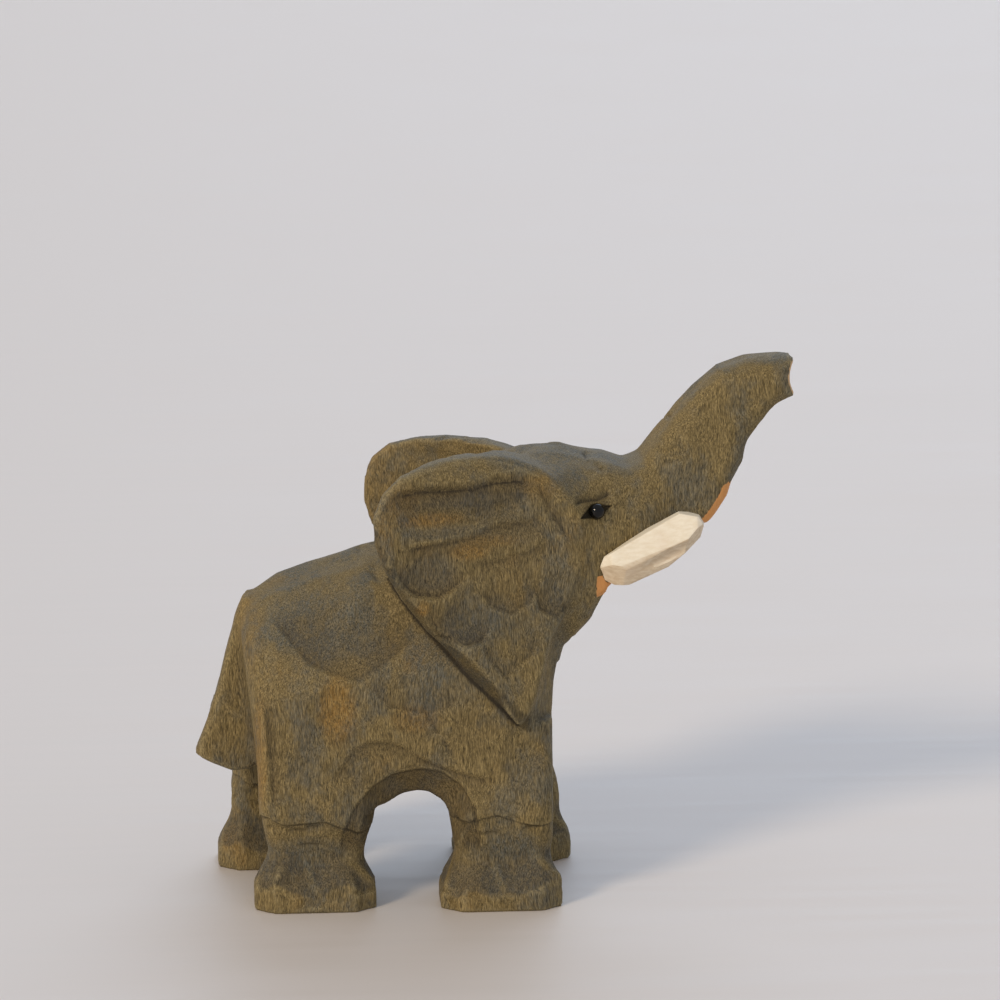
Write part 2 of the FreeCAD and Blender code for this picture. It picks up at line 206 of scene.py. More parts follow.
def outline_field(points, u, v):
    """Signed distance from a closed outline on the grid u by v, negative inside."""
    pu, pv = np.meshgrid(u, v, indexing="ij")
    nearest = np.full(pu.shape, 1e9)
    inside = np.zeros(pu.shape, bool)
    for (au, av), (bu, bv) in zip(points, points[1:] + points[:1]):
        eu, ev = bu - au, bv - av
        wu, wv = pu - au, pv - av
        along = np.clip((wu * eu + wv * ev) / (eu * eu + ev * ev), 0, 1)
        nearest = np.minimum(nearest, np.hypot(wu - eu * along, wv - ev * along))
        if ev:
            inside ^= ((av > pv) != (bv > pv)) & (pu < eu * (pv - av) / ev + au)
    return np.where(inside, -nearest, nearest).astype(np.float32)


def mirrored(half):
    """A whole outline from its half with y >= 0, y coming first or second in each point."""
    at = 0 if half[0][0] == 0 else 1
    other = [tuple(-c if i == at else c for i, c in enumerate(p)) for p in reversed(half) if p[at]]
    return half + other


def follow_line(section, line, peak, x, z):
    """Repeat a (y, z) section along x, moved up or down so that its peak follows a side line."""
    rise = np.interp(x, [p[0] for p in line], [p[1] for p in line]) - peak
    step = z[1] - z[0]
    field = np.empty((len(x), section.shape[0], len(z)), np.float32)
    index = np.arange(len(z))
    for i, up in enumerate(rise):
        at = np.clip(index - up / step, 0, len(z) - 1.001)
        low = at.astype(int)
        part = (at - low).astype(np.float32)
        field[i] = section[:, low] * (1 - part) + section[:, low + 1] * part
    return field


def ease(value, start, end):
    """0 below start, 1 above end, and smooth between."""
    t = np.clip((value - start) / (end - start), 0, 1)
    return t * t * (3 - 2 * t)


def ear_face(x, z):
    """Distance from the middle plane of the right ear's outer face before it is hollowed."""
    return 12.4 + 0.30 * (8 - x) + 0.13 * (68 - z)


def on_ear(x, y, z):
    """1 on the outer face of a right ear at these places and 0 off it; y is outwards."""
    return ease(y - ear_face(x, z), -4.2, -2.6) * ease(z, 27, 31) * ease(12.5 - x, 0, 3)


class Block:
    """The block's distance field on a regular grid."""

    def __init__(self):
        self.x, self.y, self.z = (
            np.arange(low, high, CELL) for low, high in zip(GRID_LOW, GRID_HIGH)
        )
        self.gx = self.x[:, None, None].astype(np.float32)
        self.gy = self.y[None, :, None].astype(np.float32)
        self.gz = self.z[None, None, :].astype(np.float32)
        self.ay = np.abs(self.gy)
        self.field = None

    def side(self, points):
        return outline_field(points, self.x, self.z)[:, None, :]

    def top(self, half):
        return outline_field(mirrored(half), self.x, self.y)[:, :, None]

    def front(self, half, line, peak):
        section = outline_field(mirrored(half), self.y, self.z)
        return follow_line(section, line, peak, self.x, self.z)

    def build(self):
        body = self.torso()
        body = smooth_min(body, self.head(), 3.0)
        body = smooth_min(body, self.tail(), 1.6)
        for side, end in FEET:
            body = smooth_min(body, self.leg(side, end), 0.8)
        body = smooth_max(body, -self.arch(), 0.6)
        body = smooth_max(body, -self.tunnel(), 1.4)
        for side, end in FEET:
            body = smooth_min(body, self.foot(side, end), 0.5)
        body = smooth_min(body, self.trunk(), 4.0)
        for side in SIDES:
            body = self.join_ear(body, side)
        body = smooth_max(body, -self.mouth(), 0.9)
        (hx, hy, hz), radius = TRUNK_TIP_HOLLOW
        hollow = np.sqrt((self.gx - hx) ** 2 + (0.55 * (self.gy - hy)) ** 2 + (self.gz - hz) ** 2) - radius
        body = smooth_max(body, -hollow, 0.5)
        self.field = np.maximum(body, -self.gz)

    def torso(self):
        body = smooth_max(self.side(TORSO_SIDE), self.top(TORSO_TOP), 2.0)
        return smooth_max(body, self.front(TORSO_FRONT, TORSO_BACK, 54), 2.0)

    def head(self):
        body = smooth_max(self.side(HEAD_SIDE), self.top(HEAD_TOP), 2.6)
        return smooth_max(body, self.front(HEAD_FRONT, HEAD_CROWN, 69), 2.6)

    def trunk(self):
        along = TRUNK_X * self.gx + TRUNK_Z * self.gz
        half_width = np.interp(along[:, 0, :], [56, 66, 72, 80, 91], [7.8, 7.0, 6.1, 5.2, 4.4])
        across = self.ay - half_width[:, None, :].astype(np.float32)
        return smooth_max(self.side(TRUNK_SIDE), across, 3.4)

    def tail(self):
        half_width = np.interp(self.z, [18, 24, 34, 46], [3.5, 3.2, 2.5, 2.0])[None, None, :]
        return smooth_max(self.side(TAIL_SIDE), self.ay - half_width.astype(np.float32), 1.2)

    def leg(self, side, end):
        """An ankle column with the thigh stepping out over it along an uneven line."""
        centre, out = FEET[side, end]
        y = self.gy * SIDES[side]
        lean = ease(self.z, 8, 30) * {"hind": 6.6, "front": -6.5}[end] * (side == "left")
        shift = out * (1 - ease(self.z, 10, 22))
        high = ease(self.z, 9, 14)

        def shaft(rows):
            rows = np.array(rows)
            back, ahead, inner, outer = (np.interp(self.z, rows[:, 0], rows[:, i]) for i in (1, 2, 3, 4))
            ahead = np.minimum(ahead, 7.9) if end == "front" else ahead
            rear, fore = centre + lean - back, centre + lean + ahead
            if end == "hind":
                fore = np.where(high > 0, np.maximum(fore, ARCH_BACK * high + fore * (1 - high)), fore)
            else:
                rear = np.where(high > 0, np.minimum(rear, ARCH_FRONT * high + rear * (1 - high)), rear)
            along = np.maximum(rear - self.gx, self.gx - fore)
            across = np.maximum(inner + shift - y, y - outer - shift)
            return smooth_max(along, across, 3.4)

        step = knee_height(side, end, self.gx, self.gy)
        thigh = np.maximum(shaft(THIGH_FACES), np.maximum((step - self.gz) * 0.9, self.gz - 29))
        column = np.maximum(shaft(LEG_FACES), self.gz - 17)
        return smooth_min(column, thigh, 0.2).astype(np.float32)

    def foot(self, side, end):
        """A foot with cut corners and an upright rim, sloping in above the rim's uneven edge."""
        x = np.abs(self.gx - FEET[side, end][0])
        y = np.abs(self.gy * SIDES[side] - foot_middle(side, end))
        corner = (x * FOOT_CORNER_CUT[0] + y * FOOT_CORNER_CUT[1]) - FOOT_CORNER_CUT[2]
        wall = np.maximum(smooth_max(x - FOOT_HALF_LENGTH, y - FOOT_HALF_WIDTH, 0.6), corner)
        above = self.gz - rim_height(side, end, self.gx, self.gy)
        ridge = 0.3 * (1 - facet_middle(side, end, self.gx, self.gy, self.gz))
        slope = (wall + FOOT_SLOPE * above - ridge) * 0.88
        return np.maximum(np.maximum(wall, slope), self.gz - 11).astype(np.float32)

    def arch(self):
        opening = self.side(ARCH_SIDE)
        flare = 1.9 + 2.9 * ease(self.z, 14, 20)
        flare = (flare * ease(self.z, 8, 13))[None, None, :].astype(np.float32)
        return opening - flare * np.clip((self.ay - 13.6) / 3.4, 0, 1.3)

    def tunnel(self):
        spring = TUNNEL_TOP - TUNNEL_HALF_WIDTH
        vault = np.hypot(self.gy, np.maximum(self.gz - spring, 0)) - TUNNEL_HALF_WIDTH
        return np.broadcast_to(vault, (len(self.x), len(self.y), len(self.z))).astype(np.float32)

    def mouth(self):
        return smooth_max(self.side(MOUTH_SIDE), self.ay - MOUTH_HALF_WIDTH, 1.2)

    def join_ear(self, body, side):
        sign = SIDES[side]
        drop = EAR_DROP[side]
        points = [(x, z - drop) for x, z in EAR_SIDE]
        edge = self.side(points)
        y = self.gy * sign
        x, z = self.gx[:, 0, :], self.gz[:, 0, :] + drop
        face = ear_face(x, z)
        face = face - 1.5 * ease(z + 0.12 * x, 65.2, 69.5)
        thick = np.interp(self.x, [-19.5, -14, -6, 2, 8], [2.2, 2.8, 4.2, 6.5, 9])[:, None]
        outer = (y - face[:, None, :]) / 1.05
        inner = (face[:, None, :] - thick[:, None, :] - y) / 1.05
        wide = np.interp(self.x, [-19.5, -12, 0], [0.9, 1.5, 1.8])[:, None, None]
        bevel = edge * 0.8 + outer * 0.6 + wide
        rear = ease(-self.x, -6, 2)[:, None, None]
        low = 1 - ease(self.z, 60, 66)[None, None, :]
        bevel = bevel - (1 - rear * low) * 6
        ear = smooth_max(edge, outer, 0.7)
        ear = smooth_max(ear, bevel, 0.4)
        ear = smooth_max(ear, inner, 1.0)
        k = np.interp(self.x, [-8, 2, 8, 12], [0.45, 0.7, 3.0, 5.0])[:, None, None].astype(np.float32)
        return smooth_min(body, ear.astype(np.float32), k)


CORNERS = [(i, j, k) for i in (0, 1) for j in (0, 1) for k in (0, 1)]


def surface_net(block):
    """Vertices (in millimetres) and quads of the field's zero surface, one vertex to a crossed cell."""
    f = block.field
    inside = f < 0
    shape = tuple(n - 1 for n in f.shape)
    views = [inside[i:i + shape[0], j:j + shape[1], k:k + shape[2]] for i, j, k in CORNERS]
    count = sum(v.astype(np.int8) for v in views)
    cells = np.argwhere((count > 0) & (count < 8))
    number = np.full(shape, -1, np.int32)
    number[tuple(cells.T)] = np.arange(len(cells))
    total = np.zeros((len(cells), 3))
    hits = np.zeros(len(cells))
    for axis in range(3):
        for a in (0, 1):
            for b in (0, 1):
                start = np.insert(np.array([a, b]), axis, 0)
                end = start.copy()
                end[axis] = 1
                f0 = f[tuple((cells + start).T)]
                f1 = f[tuple((cells + end).T)]
                crossed = (f0 < 0) != (f1 < 0)
                part = np.where(crossed, f0 / np.where(crossed, f0 - f1, 1), 0)
                point = np.repeat(start[None].astype(float), len(cells), 0)
                point[:, axis] = part
                total += point * crossed[:, None]
                hits += crossed
    vertices = (cells + total / hits[:, None]) * CELL + np.array(GRID_LOW)
    quads = []
    for axis in range(3):
        u, v = [(1, 2), (2, 0), (0, 1)][axis]
        low = [slice(1, -1)] * 3
        low[axis] = slice(0, -1)
        high = list(low)
        high[axis] = slice(1, None)
        s0, s1 = inside[tuple(low)], inside[tuple(high)]
        edges = np.argwhere(s0 != s1)
        solid_first = s0[tuple(edges.T)]
        base = edges + 1
        base[:, axis] -= 1
        ring = []
        for du, dv in ((0, 0), (-1, 0), (-1, -1), (0, -1)):
            cell = base.copy()
            cell[:, u] += du
            cell[:, v] += dv
            ring.append(number[tuple(cell.T)])
        ring = np.stack(ring, 1)
        ring[~solid_first] = ring[~solid_first][:, ::-1]
        quads.append(ring)
    return vertices, np.concatenate(quads)


class Surface:
    """The meshed block, with the steps that relax it and carve it."""

    def __init__(self, block):
        self.block = block
        self.v, self.quads = surface_net(block)
        q = self.quads
        pairs = np.concatenate([q[:, [0, 1]], q[:, [1, 2]], q[:, [2, 3]], q[:, [3, 0]]])
        self.edges = np.unique(np.sort(pairs, 1), axis=0)
        self.degree = np.bincount(self.edges.ravel(), minlength=len(self.v))[:, None]

    def sample(self, points):
        """The field and its gradient at points, between the grid's values."""
        f = self.block.field
        at = (points - np.array(GRID_LOW)) / CELL
        low = np.clip(at.astype(int), 0, np.array(f.shape) - 2)
        t = at - low
        value = np.zeros(len(points))
        slope = np.zeros_like(points)
        for corner in CORNERS:
            c = np.array(corner)
            w = np.where(c == 1, t, 1 - t)
            here = f[tuple((low + c).T)]
            value += here * w.prod(1)
            for axis in range(3):
                others = [a for a in range(3) if a != axis]
                slope[:, axis] += here * w[:, others].prod(1) * (1 if c[axis] else -1)
        return value, slope / CELL

    def neighbour_mean(self, values):
        total = np.zeros_like(values)
        for axis in range(values.shape[1]):
            for a, b in ((0, 1), (1, 0)):
                total[:, axis] += np.bincount(
                    self.edges[:, a], values[self.edges[:, b], axis], len(values)
                )
        return total / self.degree

    def relax(self, rounds):
        for _ in range(rounds):
            self.v += (self.neighbour_mean(self.v) - self.v) * 0.5
            value, slope = self.sample(self.v)
            steep = np.maximum((slope * slope).sum(1), 0.05)
            self.v -= slope * (np.clip(value, -0.3, 0.3) / steep)[:, None]

    def normals(self):
        a, b, c, d = (self.v[self.quads[:, i]] for i in range(4))
        facing = np.cross(c - a, d - b)
        total = np.zeros_like(self.v)
        for i in range(4):
            for axis in range(3):
                total[:, axis] += np.bincount(self.quads[:, i], facing[:, axis], len(self.v))
        return total / np.maximum(np.linalg.norm(total, axis=1, keepdims=True), 1e-9)

    def smooth_normals(self, rounds):
        n = self.normals()
        for _ in range(rounds):
            n = n + self.neighbour_mean(n)
            n /= np.linalg.norm(n, axis=1, keepdims=True)
        return n


def line_distance(points, u, v):
    """Distance from an open line, positive on its left, and how far along it the nearest place is."""
    points = np.array(points, float)
    best = np.full(len(u), 1e9)
    signed, along = np.zeros(len(u)), np.zeros(len(u))
    lengths = np.hypot(*np.diff(points, axis=0).T)
    starts = np.concatenate([[0], np.cumsum(lengths)])
    for (au, av), (bu, bv), length, start in zip(points, points[1:], lengths, starts):
        eu, ev = (bu - au) / length, (bv - av) / length
        wu, wv = u - au, v - av
        t = np.clip(wu * eu + wv * ev, 0, length)
        away = np.hypot(wu - eu * t, wv - ev * t)
        nearer = away < best
        best = np.where(nearer, away, best)
        signed = np.where(nearer, np.where(eu * wv - ev * wu >= 0, away, -away), signed)
        along = np.where(nearer, (start + t) / starts[-1], along)
    return signed, along


# Cuts on the ears in the right ear's side view: line, depth, width above it and width below it.
EAR_FOLDS = [
    ([(-17.6, 63.2), (-15.2, 65.0), (-12.4, 65.5), (-7.2, 65.3), (-3.7, 65.4), (-0.4, 66.2), (2.9, 66.2),
      (5.6, 65.3), (6.4, 63.6)], 0.78, 1.0, 7.5),
    ([(-16, 56.4), (-13, 57.2), (-9.5, 57.5), (-7.3, 57.7), (-3.7, 58.4), (-1.7, 59.2), (0.8, 59.6),
      (3.9, 59.8), (7.5, 60.4)], 0.36, 0.6, 3.4),
    ([(-5.0, 61.4), (-1.0, 62.6), (3.0, 63.2)], 0.22, 0.6, 2.6),
    ([(-16.0, 55.9), (-15.0, 52.4), (-12.8, 50.4), (-9.3, 49.8), (-6.2, 51.6), (-5.0, 53.4)], 0.42, 4.6, 0.5),
    ([(-10.8, 49.2), (-10.8, 46.5), (-8.9, 43.8), (-5.9, 42.1), (-2.8, 42.8), (-1.4, 45.6)], 0.44, 4.6, 0.5),
    ([(-2.9, 51.0), (-1.7, 47.9), (1.8, 46.4), (4.9, 48.1), (6.0, 51.0)], 0.28, 4.0, 0.4),
    ([(5.4, 50.4), (6.1, 46.6), (9.1, 45.2), (11.4, 47.6)], 0.34, 4.0, 0.4),
    ([(-4.6, 54.2), (-0.1, 54.4), (4.5, 55.3), (8.2, 57.0)], 0.24, 0.5, 3.0),
    ([(5.6, 66.6), (6.8, 63.2), (8.3, 60.2), (9.6, 58.3), (11.4, 56.2), (12.2, 53.0)], 0.30, 1.5, 0.7),
    ([(-3.4, 43.6), (-1.6, 39.6), (0.6, 37.0), (4.6, 39.8), (6.4, 43.6)], 0.20, 3.4, 0.4),
]
# The ear's top rim, along which a painted highlight runs.
EAR_RIM = [
    (-18.7, 60.5), (-17.6, 64.6), (-15.0, 67.0), (-10.7, 68.5), (-6.2, 69.0), (-0.6, 68.9), (2.6, 68.1),
    (6.0, 66.4),
]
# Bowls cut on the ear and cheek: centre, half length, half height, tilt in degrees and depth.
EAR_SCOOPS = [
    ((-10.3, 53.5), 4.5, 3.2, 8, 0.80), ((-4.9, 46.4), 4.9, 3.8, -38, 0.75),
    ((-1.5, 54.0), 4.2, 3.0, 14, 0.22), ((3.4, 50.2), 3.6, 4.2, -20, 0.40),
    ((8.6, 48.4), 3.4, 3.6, 20, 0.60), ((0.6, 42.2), 3.4, 4.6, -30, 0.25),
    ((-12.0, 61.0), 3.6, 3.0, 10, 0.30), ((-5.2, 61.2), 3.8, 3.4, 0, 0.30), ((1.8, 61.6), 3.6, 3.2, 0, 0.28),
    ((2.2, 36.6), 2.6, 4.2, -20, 0.22), ((-0.4, 50.4), 2.0, 2.8, 0, 0.35), ((4.0, 44.6), 2.6, 3.4, -30, 0.30),
]
EAR_CREASE = [
    (-20.0, 58.6), (-18.7, 54.8), (-15.6, 49.0), (-12.0, 44.2), (-8.0, 40.0), (-4.3, 35.9), (-0.4, 32.2),
    (2.6, 29.0),
]
FLANK_SCOOPS = [
    ((-26.5, 44.5), 10.0, 7.2, -38, 0.32), ((-17.0, 40.5), 6.5, 6.0, -50, 0.22),
    ((-24.4, 31.4), 3.7, 6.6, 0, 0.38), ((-12.6, 30.4), 4.4, 3.6, 0, 0.35),
    ((-18.6, 22.8), 6.4, 3.9, 18, 0.42), ((-32.4, 27.5), 4.2, 9.0, 0, 0.30),
    ((-3.4, 29.8), 4.0, 5.4, -30, 0.30), ((3.6, 24.0), 3.4, 6.2, 0, 0.26),
]
FLANK_LINES = [
    ([(-36.4, 50.4), (-35.3, 47.6), (-33.2, 43.6), (-28.7, 38.7), (-25.0, 37.1), (-21.2, 36.4), (-17.5, 38.5),
      (-14.5, 40.8), (-10.5, 44.0)], 0.27, 9.0, 0.5),
    ([(-20.5, 36.2), (-16.5, 32.0), (-10.8, 30.9), (-5.2, 33.2)], 0.20, 3.6, 0.4),
    ([(-14.4, 25.2), (-12.7, 24.2), (-8.5, 22.2), (-4.0, 20.8), (-0.6, 20.3)], 0.32, 0.5, 3.0),
    ([(-25.4, 19.6), (-24.6, 21.6), (-22.0, 25.6), (-19.5, 26.5), (-16.8, 26.4),
      (-12.2, 24.6)], 0.24, 0.5, 3.2),
    ([(-36.4, 33.6), (-35.2, 31.2), (-34.7, 24.2), (-34.3, 16.2)], 0.35, 2.2, 0.4),
]
DEEPEST_STROKE = 0.42
STROKE_SEED = 11


def bowl_place(bowl, x, z):
    """How far out each place is in a bowl, 1 at its uneven edge, and its direction round the bowl."""
    (cx, cz), length, height, tilt = bowl
    c, s = math.cos(math.radians(tilt)), math.sin(math.radians(tilt))
    u, w = (x - cx) * c + (z - cz) * s, (z - cz) * c - (x - cx) * s
    turn = np.arctan2(w / height, u / length)
    wobble = 0.10 * np.sin(2 * turn + cx) + 0.07 * np.sin(3 * turn + 2 * cz) + 0.03 * np.sin(7 * turn)
    return np.hypot(u / length, w / height) * (1 + wobble), turn


class Carving:
    """Knife work on the meshed block, kept as a depth for each vertex."""

    def __init__(self, surface, rng):
        self.surface, self.rng = surface, rng

    def apply(self, depth, normals):
        self.surface.v += normals * depth[:, None]
        self.surface.v[:, 2] = np.maximum(self.surface.v[:, 2], 0)

    def features(self):
        """The bowls that the carver put where they are on purpose."""
        v, normals = self.surface.v, self.surface.smooth_normals(1)
        depth = np.zeros(len(v))
        for side, sign in SIDES.items():
            drop = EAR_DROP[side]
            x, y, z = v[:, 0], v[:, 1] * sign, v[:, 2]
            turned = ease(normals[:, 1] * sign, 0.15, 0.5)
            ear = turned * on_ear(x, y, z + drop)
            flank = turned * (1 - ear) * ease(y, 8, 11) * ease(12 - x, 2, 5)
            depth += ear * self.bowls(EAR_SCOOPS, x, z + drop, side)
            depth += flank * self.bowls(FLANK_SCOOPS, x, z, side)
        self.apply(depth, normals)

    def bowls(self, cuts, x, z, side):
        depth = np.zeros(len(x))
        for (cx, cz), length, height, tilt, deep in cuts:
            if side == "left":
                cx, cz = cx + self.rng.uniform(-1, 1), cz + self.rng.uniform(-1, 1)
            away, _ = bowl_place(((cx, cz), length, height, tilt), x, z)
            depth = np.minimum(depth, -deep * np.clip(1 - away ** 2, 0, 1))
        return depth

    def manner(self, place, facing):
        """How the knife works at a place: spacing, run, depth, and the bows across and along."""
        x, y, z = place
        on_trunk = x > 18 and TRUNK_X * x + TRUNK_Z * z > 60
        if on_trunk and TRUNK_Z * facing[0] - TRUNK_X * facing[2] > 0.45:
            return 3.1, (TRUNK_X, 0.0, TRUNK_Z), (0.16, 0.34), 9, 7
        if on_trunk:
            return 3.6, (TRUNK_X, 0.0, TRUNK_Z), (0.10, 0.22), 9, 34
        if z < 15:
            return 3.3, (0.0, 0.0, 1.0), (0.08, 0.18), 9, 30
        if abs(y) > 12.5 and abs(y) > ear_face(x, z) - 3.5:
            return 4.4, (1.0, 0.0, 0.15), (0.06, 0.16), 12, 40
        if facing[2] > 0.75:
            return 4.6, (1.0, 0.0, 0.2), (0.10, 0.20), 14, 50
        if x > -19 and z > 52:
            return 4.0, (0.4, 0.0, 0.9), (0.08, 0.18), 11, 36
        return 5.0, (0.0, 0.0, 1.0), (0.08, 0.20), 17, 60

    def strokes(self):
        """Knife strokes over the whole block, each one a shallow trough."""
        v, normals = self.surface.v, self.surface.smooth_normals(1)
        broad = self.surface.smooth_normals(12)
        free = v[:, 2] > 0.4
        depth = np.zeros(len(v))
        for i in self.rng.permutation(len(v)):
            if not free[i]:
                continue
            place, facing = v[i], broad[i]
            spacing, run, deep, across, along = self.manner(place, facing)
            offset = v - place
            distance = (offset * offset).sum(1)
            free &= distance > spacing * spacing
            turn = self.rng.normal(0, 0.26)
            amount = self.rng.uniform(*deep)
            bows = across * self.rng.uniform(0.7, 1.5), along * self.rng.uniform(0.7, 1.4)
            run = np.array(run) - facing * np.dot(run, facing)
            if np.linalg.norm(run) < 0.2:
                run = np.cross(facing, (0.0, 1.0, 0.0))
            run /= np.linalg.norm(run)
            run = run * math.cos(turn) + np.cross(facing, run) * math.sin(turn)
            near = np.flatnonzero(distance < (2.4 * spacing) ** 2)
            offset = offset[near]
            height = offset @ facing
            u, w = offset @ run, offset @ np.cross(facing, run)
            blade = -amount + u * u / (2 * bows[1]) + w * w / (2 * bows[0])
            agree = normals[near] @ facing
            cut = np.where(agree > 0.35, height - blade, 0)
            cut = np.maximum(cut - max(cut.max() - DEEPEST_STROKE, 0), 0) * ease(agree, 0.35, 0.7)
            depth[near] = np.minimum(depth[near], -cut)
        gentle = on_ear(v[:, 0], np.abs(v[:, 1]), v[:, 2])
        self.apply(depth * ease(v[:, 2], 0.1, 0.9) * (1 - 0.65 * gentle), normals)

    def edges(self):
        """How far each vertex stands on a ridge (positive) or in a hollow (negative)."""
        surface = self.surface
        normals = surface.smooth_normals(1)
        rise = ((surface.v - surface.neighbour_mean(surface.v)) * normals).sum(1)[:, None]
        for _ in range(2):
            rise = (rise + surface.neighbour_mean(rise)) / 2
        wide = surface.v.copy()
        for _ in range(24):
            wide = surface.neighbour_mean(wide)
        broad = ((surface.v - wide) * normals).sum(1)
        return rise[:, 0], broad


MOUTH_EDGE = [(16, 49.8), (22, 52.4), (28, 55.0), (32.2, 56.6), (34.0, 58.6), (35.8, 61.4), (36.6, 63.4)]
LOWER_LIP = [(12.8, 49.0), (16.8, 48.6), (15.8, 47.2)]
OCHRE_PATCHES = [
    ((-24.6, 31.6), 2.9, 5.2, 1.0), ((-12.8, 30.2), 3.6, 2.2, 0.6), ((-4.6, 56.2), 3.2, 1.4, 0.9),
    ((-11.9, 48.2), 1.2, 1.3, 1.0), ((-36.2, 25.0), 1.0, 8.5, 0.8), ((-14.8, 64.0), 3.0, 3.0, 0.35),
    ((6.2, 65.0), 3.2, 2.0, 0.45), ((-37.5, 42.5), 2.0, 6.0, 0.3), ((-17.6, 60.0), 1.6, 5.0, 0.4),
    ((-10.5, 61.2), 5.4, 1.0, 0.9), ((-1.5, 57.4), 5.0, 1.0, 0.6),
]
# Slate stain patches, and painted shade: the patch on the throat's edge stands for shade on a facet turned
# away from the light.
SLATE_AND_SHADE_PATCHES = [
    ((-10.4, 53.4), 4.2, 2.9, 1.0), ((-27.5, 43.5), 8.5, 5.5, 0.9), ((-9.0, 35.0), 6.5, 4.0, 0.8),
    ((9.0, 50.5), 3.0, 4.6, 0.9), ((9.6, 37.0), 1.8, 8.0, 0.9), ((-4.5, 45.8), 4.0, 3.0, 0.6),
    ((-29.0, 9.0), 7.0, 3.0, 0.9),
    ((0.5, 8.6), 7.0, 2.6, 0.7), ((4.0, 58.0), 4.0, 1.6, 0.4), ((-33.0, 51.0), 8.0, 2.4, 0.8),
    ((6.0, 68.6), 7.0, 1.8, 0.9), ((-20.0, 52.5), 9.0, 2.0, 0.6),
    ((-8.0, 59.2), 7.0, 1.1, 0.9), ((-4.0, 63.6), 9.0, 1.2, 0.8), ((2.5, 61.2), 3.4, 1.6, 0.7),
]


def patch_mask(patches, x, z):
    mask = np.zeros(len(x))
    for (cx, cz), length, height, strength in patches:
        away = np.hypot((x - cx) / length, (z - cz) / height)
        mask = np.maximum(mask, strength * (1 - ease(away, 0.55, 1.25)))
    return mask


def bowl_masks(surface):
    """Painted shade in the carved bowls, darkest towards their lower edges."""
    x, z = surface.v[:, 0], surface.v[:, 2]
    stain_and_shade = np.zeros(len(x))
    for side, sign in SIDES.items():
        y = surface.v[:, 1] * sign
        drop = EAR_DROP[side]
        ear = on_ear(x, y, z + drop)
        flank = (1 - ear) * ease(y, 10, 13) * (x < 9)
        for bowls, where, up in ((EAR_SCOOPS, ear, z + drop), (FLANK_SCOOPS, flank, z)):
            for *bowl, deep in bowls:
                away, turn = bowl_place(bowl, x, up)
                # The lower part of each bowl gets the most painted shade.
                lower = ease(-np.sin(turn + 0.5 * math.sin(bowl[0][0])), -0.5, 0.7)
                inner = (1 - ease(away, 0.72, 1.04)) * (0.35 + 0.65 * lower * ease(away, 0.0, 0.7))
                stain_and_shade = np.maximum(stain_and_shade, where * min(deep * 0.7, 0.5) * inner)
    return stain_and_shade


def foot_masks(x, y, z):
    """The dark cuts above the feet's rims, and the light edge along each rim."""
    cut, rim = np.zeros((2, len(x)))
    for side, end in FEET:
        own = (y * SIDES[side] > 4) & (np.abs(x - FEET[side, end][0]) < 13)
        above = z - rim_height(side, end, x, y)
        dark = ease(above, 0.1, 0.6) * (1 - ease(above, 3.6, 6.4)) * facet_middle(side, end, x, y, z)
        cut = np.maximum(cut, 0.9 * own * dark)
        rim = np.maximum(rim, 0.7 * own * np.clip(1 - np.abs(above + 0.1) / 0.5, 0, 1))
    return cut, rim


def paint_masks(surface, carving):
    """Where each stain, wear, painted shade and painted highlight lies, one number for each vertex and mask.
    """
    rise, broad = carving.edges()
    normals = surface.smooth_normals(1)
    x, y, z = surface.v.T
    upper = np.abs(line_distance(MOUTH_EDGE, x, z)[0])
    lip = np.abs(line_distance(LOWER_LIP, x, z)[0])
    upper = (1 - ease(upper, 1.2, 2.0)) * (np.abs(y) < 8)
    lip = (1 - ease(lip, 1.5, 2.1)) * ease(x, 14.6, 15.3) * ease(z, 46.9, 47.5) * (np.abs(y) < 12)
    mouth = np.maximum(upper, lip)
    throat = (np.abs(y) < 5.4) & (x > 14.5) & (x < 33) & (normals[:, 2] < 0.2) & (z > 46.6) & (z < 58)
    mouth = np.maximum(mouth * (z < 63.4), throat)
    (hx, hy, hz), radius = TRUNK_TIP_HOLLOW
    rim = np.abs(np.sqrt((x - hx) ** 2 + (0.55 * (y - hy)) ** 2 + (z - hz) ** 2) - radius)
    bare = (1 - ease(rim, 0.35, 0.8)) * (x > 43)
    stain_and_shade = bowl_masks(surface)
    cut, rim_line = foot_masks(x, y, z)
    inside_left_ear = (y > 8) * ease(-normals[:, 1], 0.3, 0.7) * ease(z, 48, 54) * (x < 8)
    return {
        # Painted shade in the bowls, with more painted shade under the folds and lines added in fine_cuts,
        # and the darkening of the foot cuts.
        "stain_and_shade": np.maximum(stain_and_shade, 0.6 * cut),
        # Real wear on the ridges, plus painted highlights along the rims added in fine_cuts; the foot rims'
        # edge and the left ear's inner face are lightened too.
        "wear_and_highlight": np.maximum(np.maximum(np.clip(rise * 14, 0, 1), rim_line), 0.55 * inside_left_ear),
        # Painted shade in hollows, deeper where the surface lies below its neighbours.
        "hollow": np.clip(np.clip(-rise * 12, 0, 1) + np.clip(-broad * 0.5, 0, 1), 0, 1),
        # Painted shade in grooves and creases, filled in later by fine_cuts.
        "groove_shade": np.zeros(len(x)),
        "ochre": np.maximum(patch_mask(OCHRE_PATCHES, x, z) * (1 - inside_left_ear), 0.2 * inside_left_ear),
        "slate_and_sky_tint": np.maximum(
            np.maximum(patch_mask(SLATE_AND_SHADE_PATCHES, x, z) * (1 - 0.8 * inside_left_ear), cut),
            # Painted cool light: upward-facing surfaces are tinted slate grey-blue as if lit from above,
            # partly slate stain.
            0.8 * ease(normals[:, 2], 0.6, 0.92),
        ),
        "mouth": mouth,
        "bare": bare,
    }


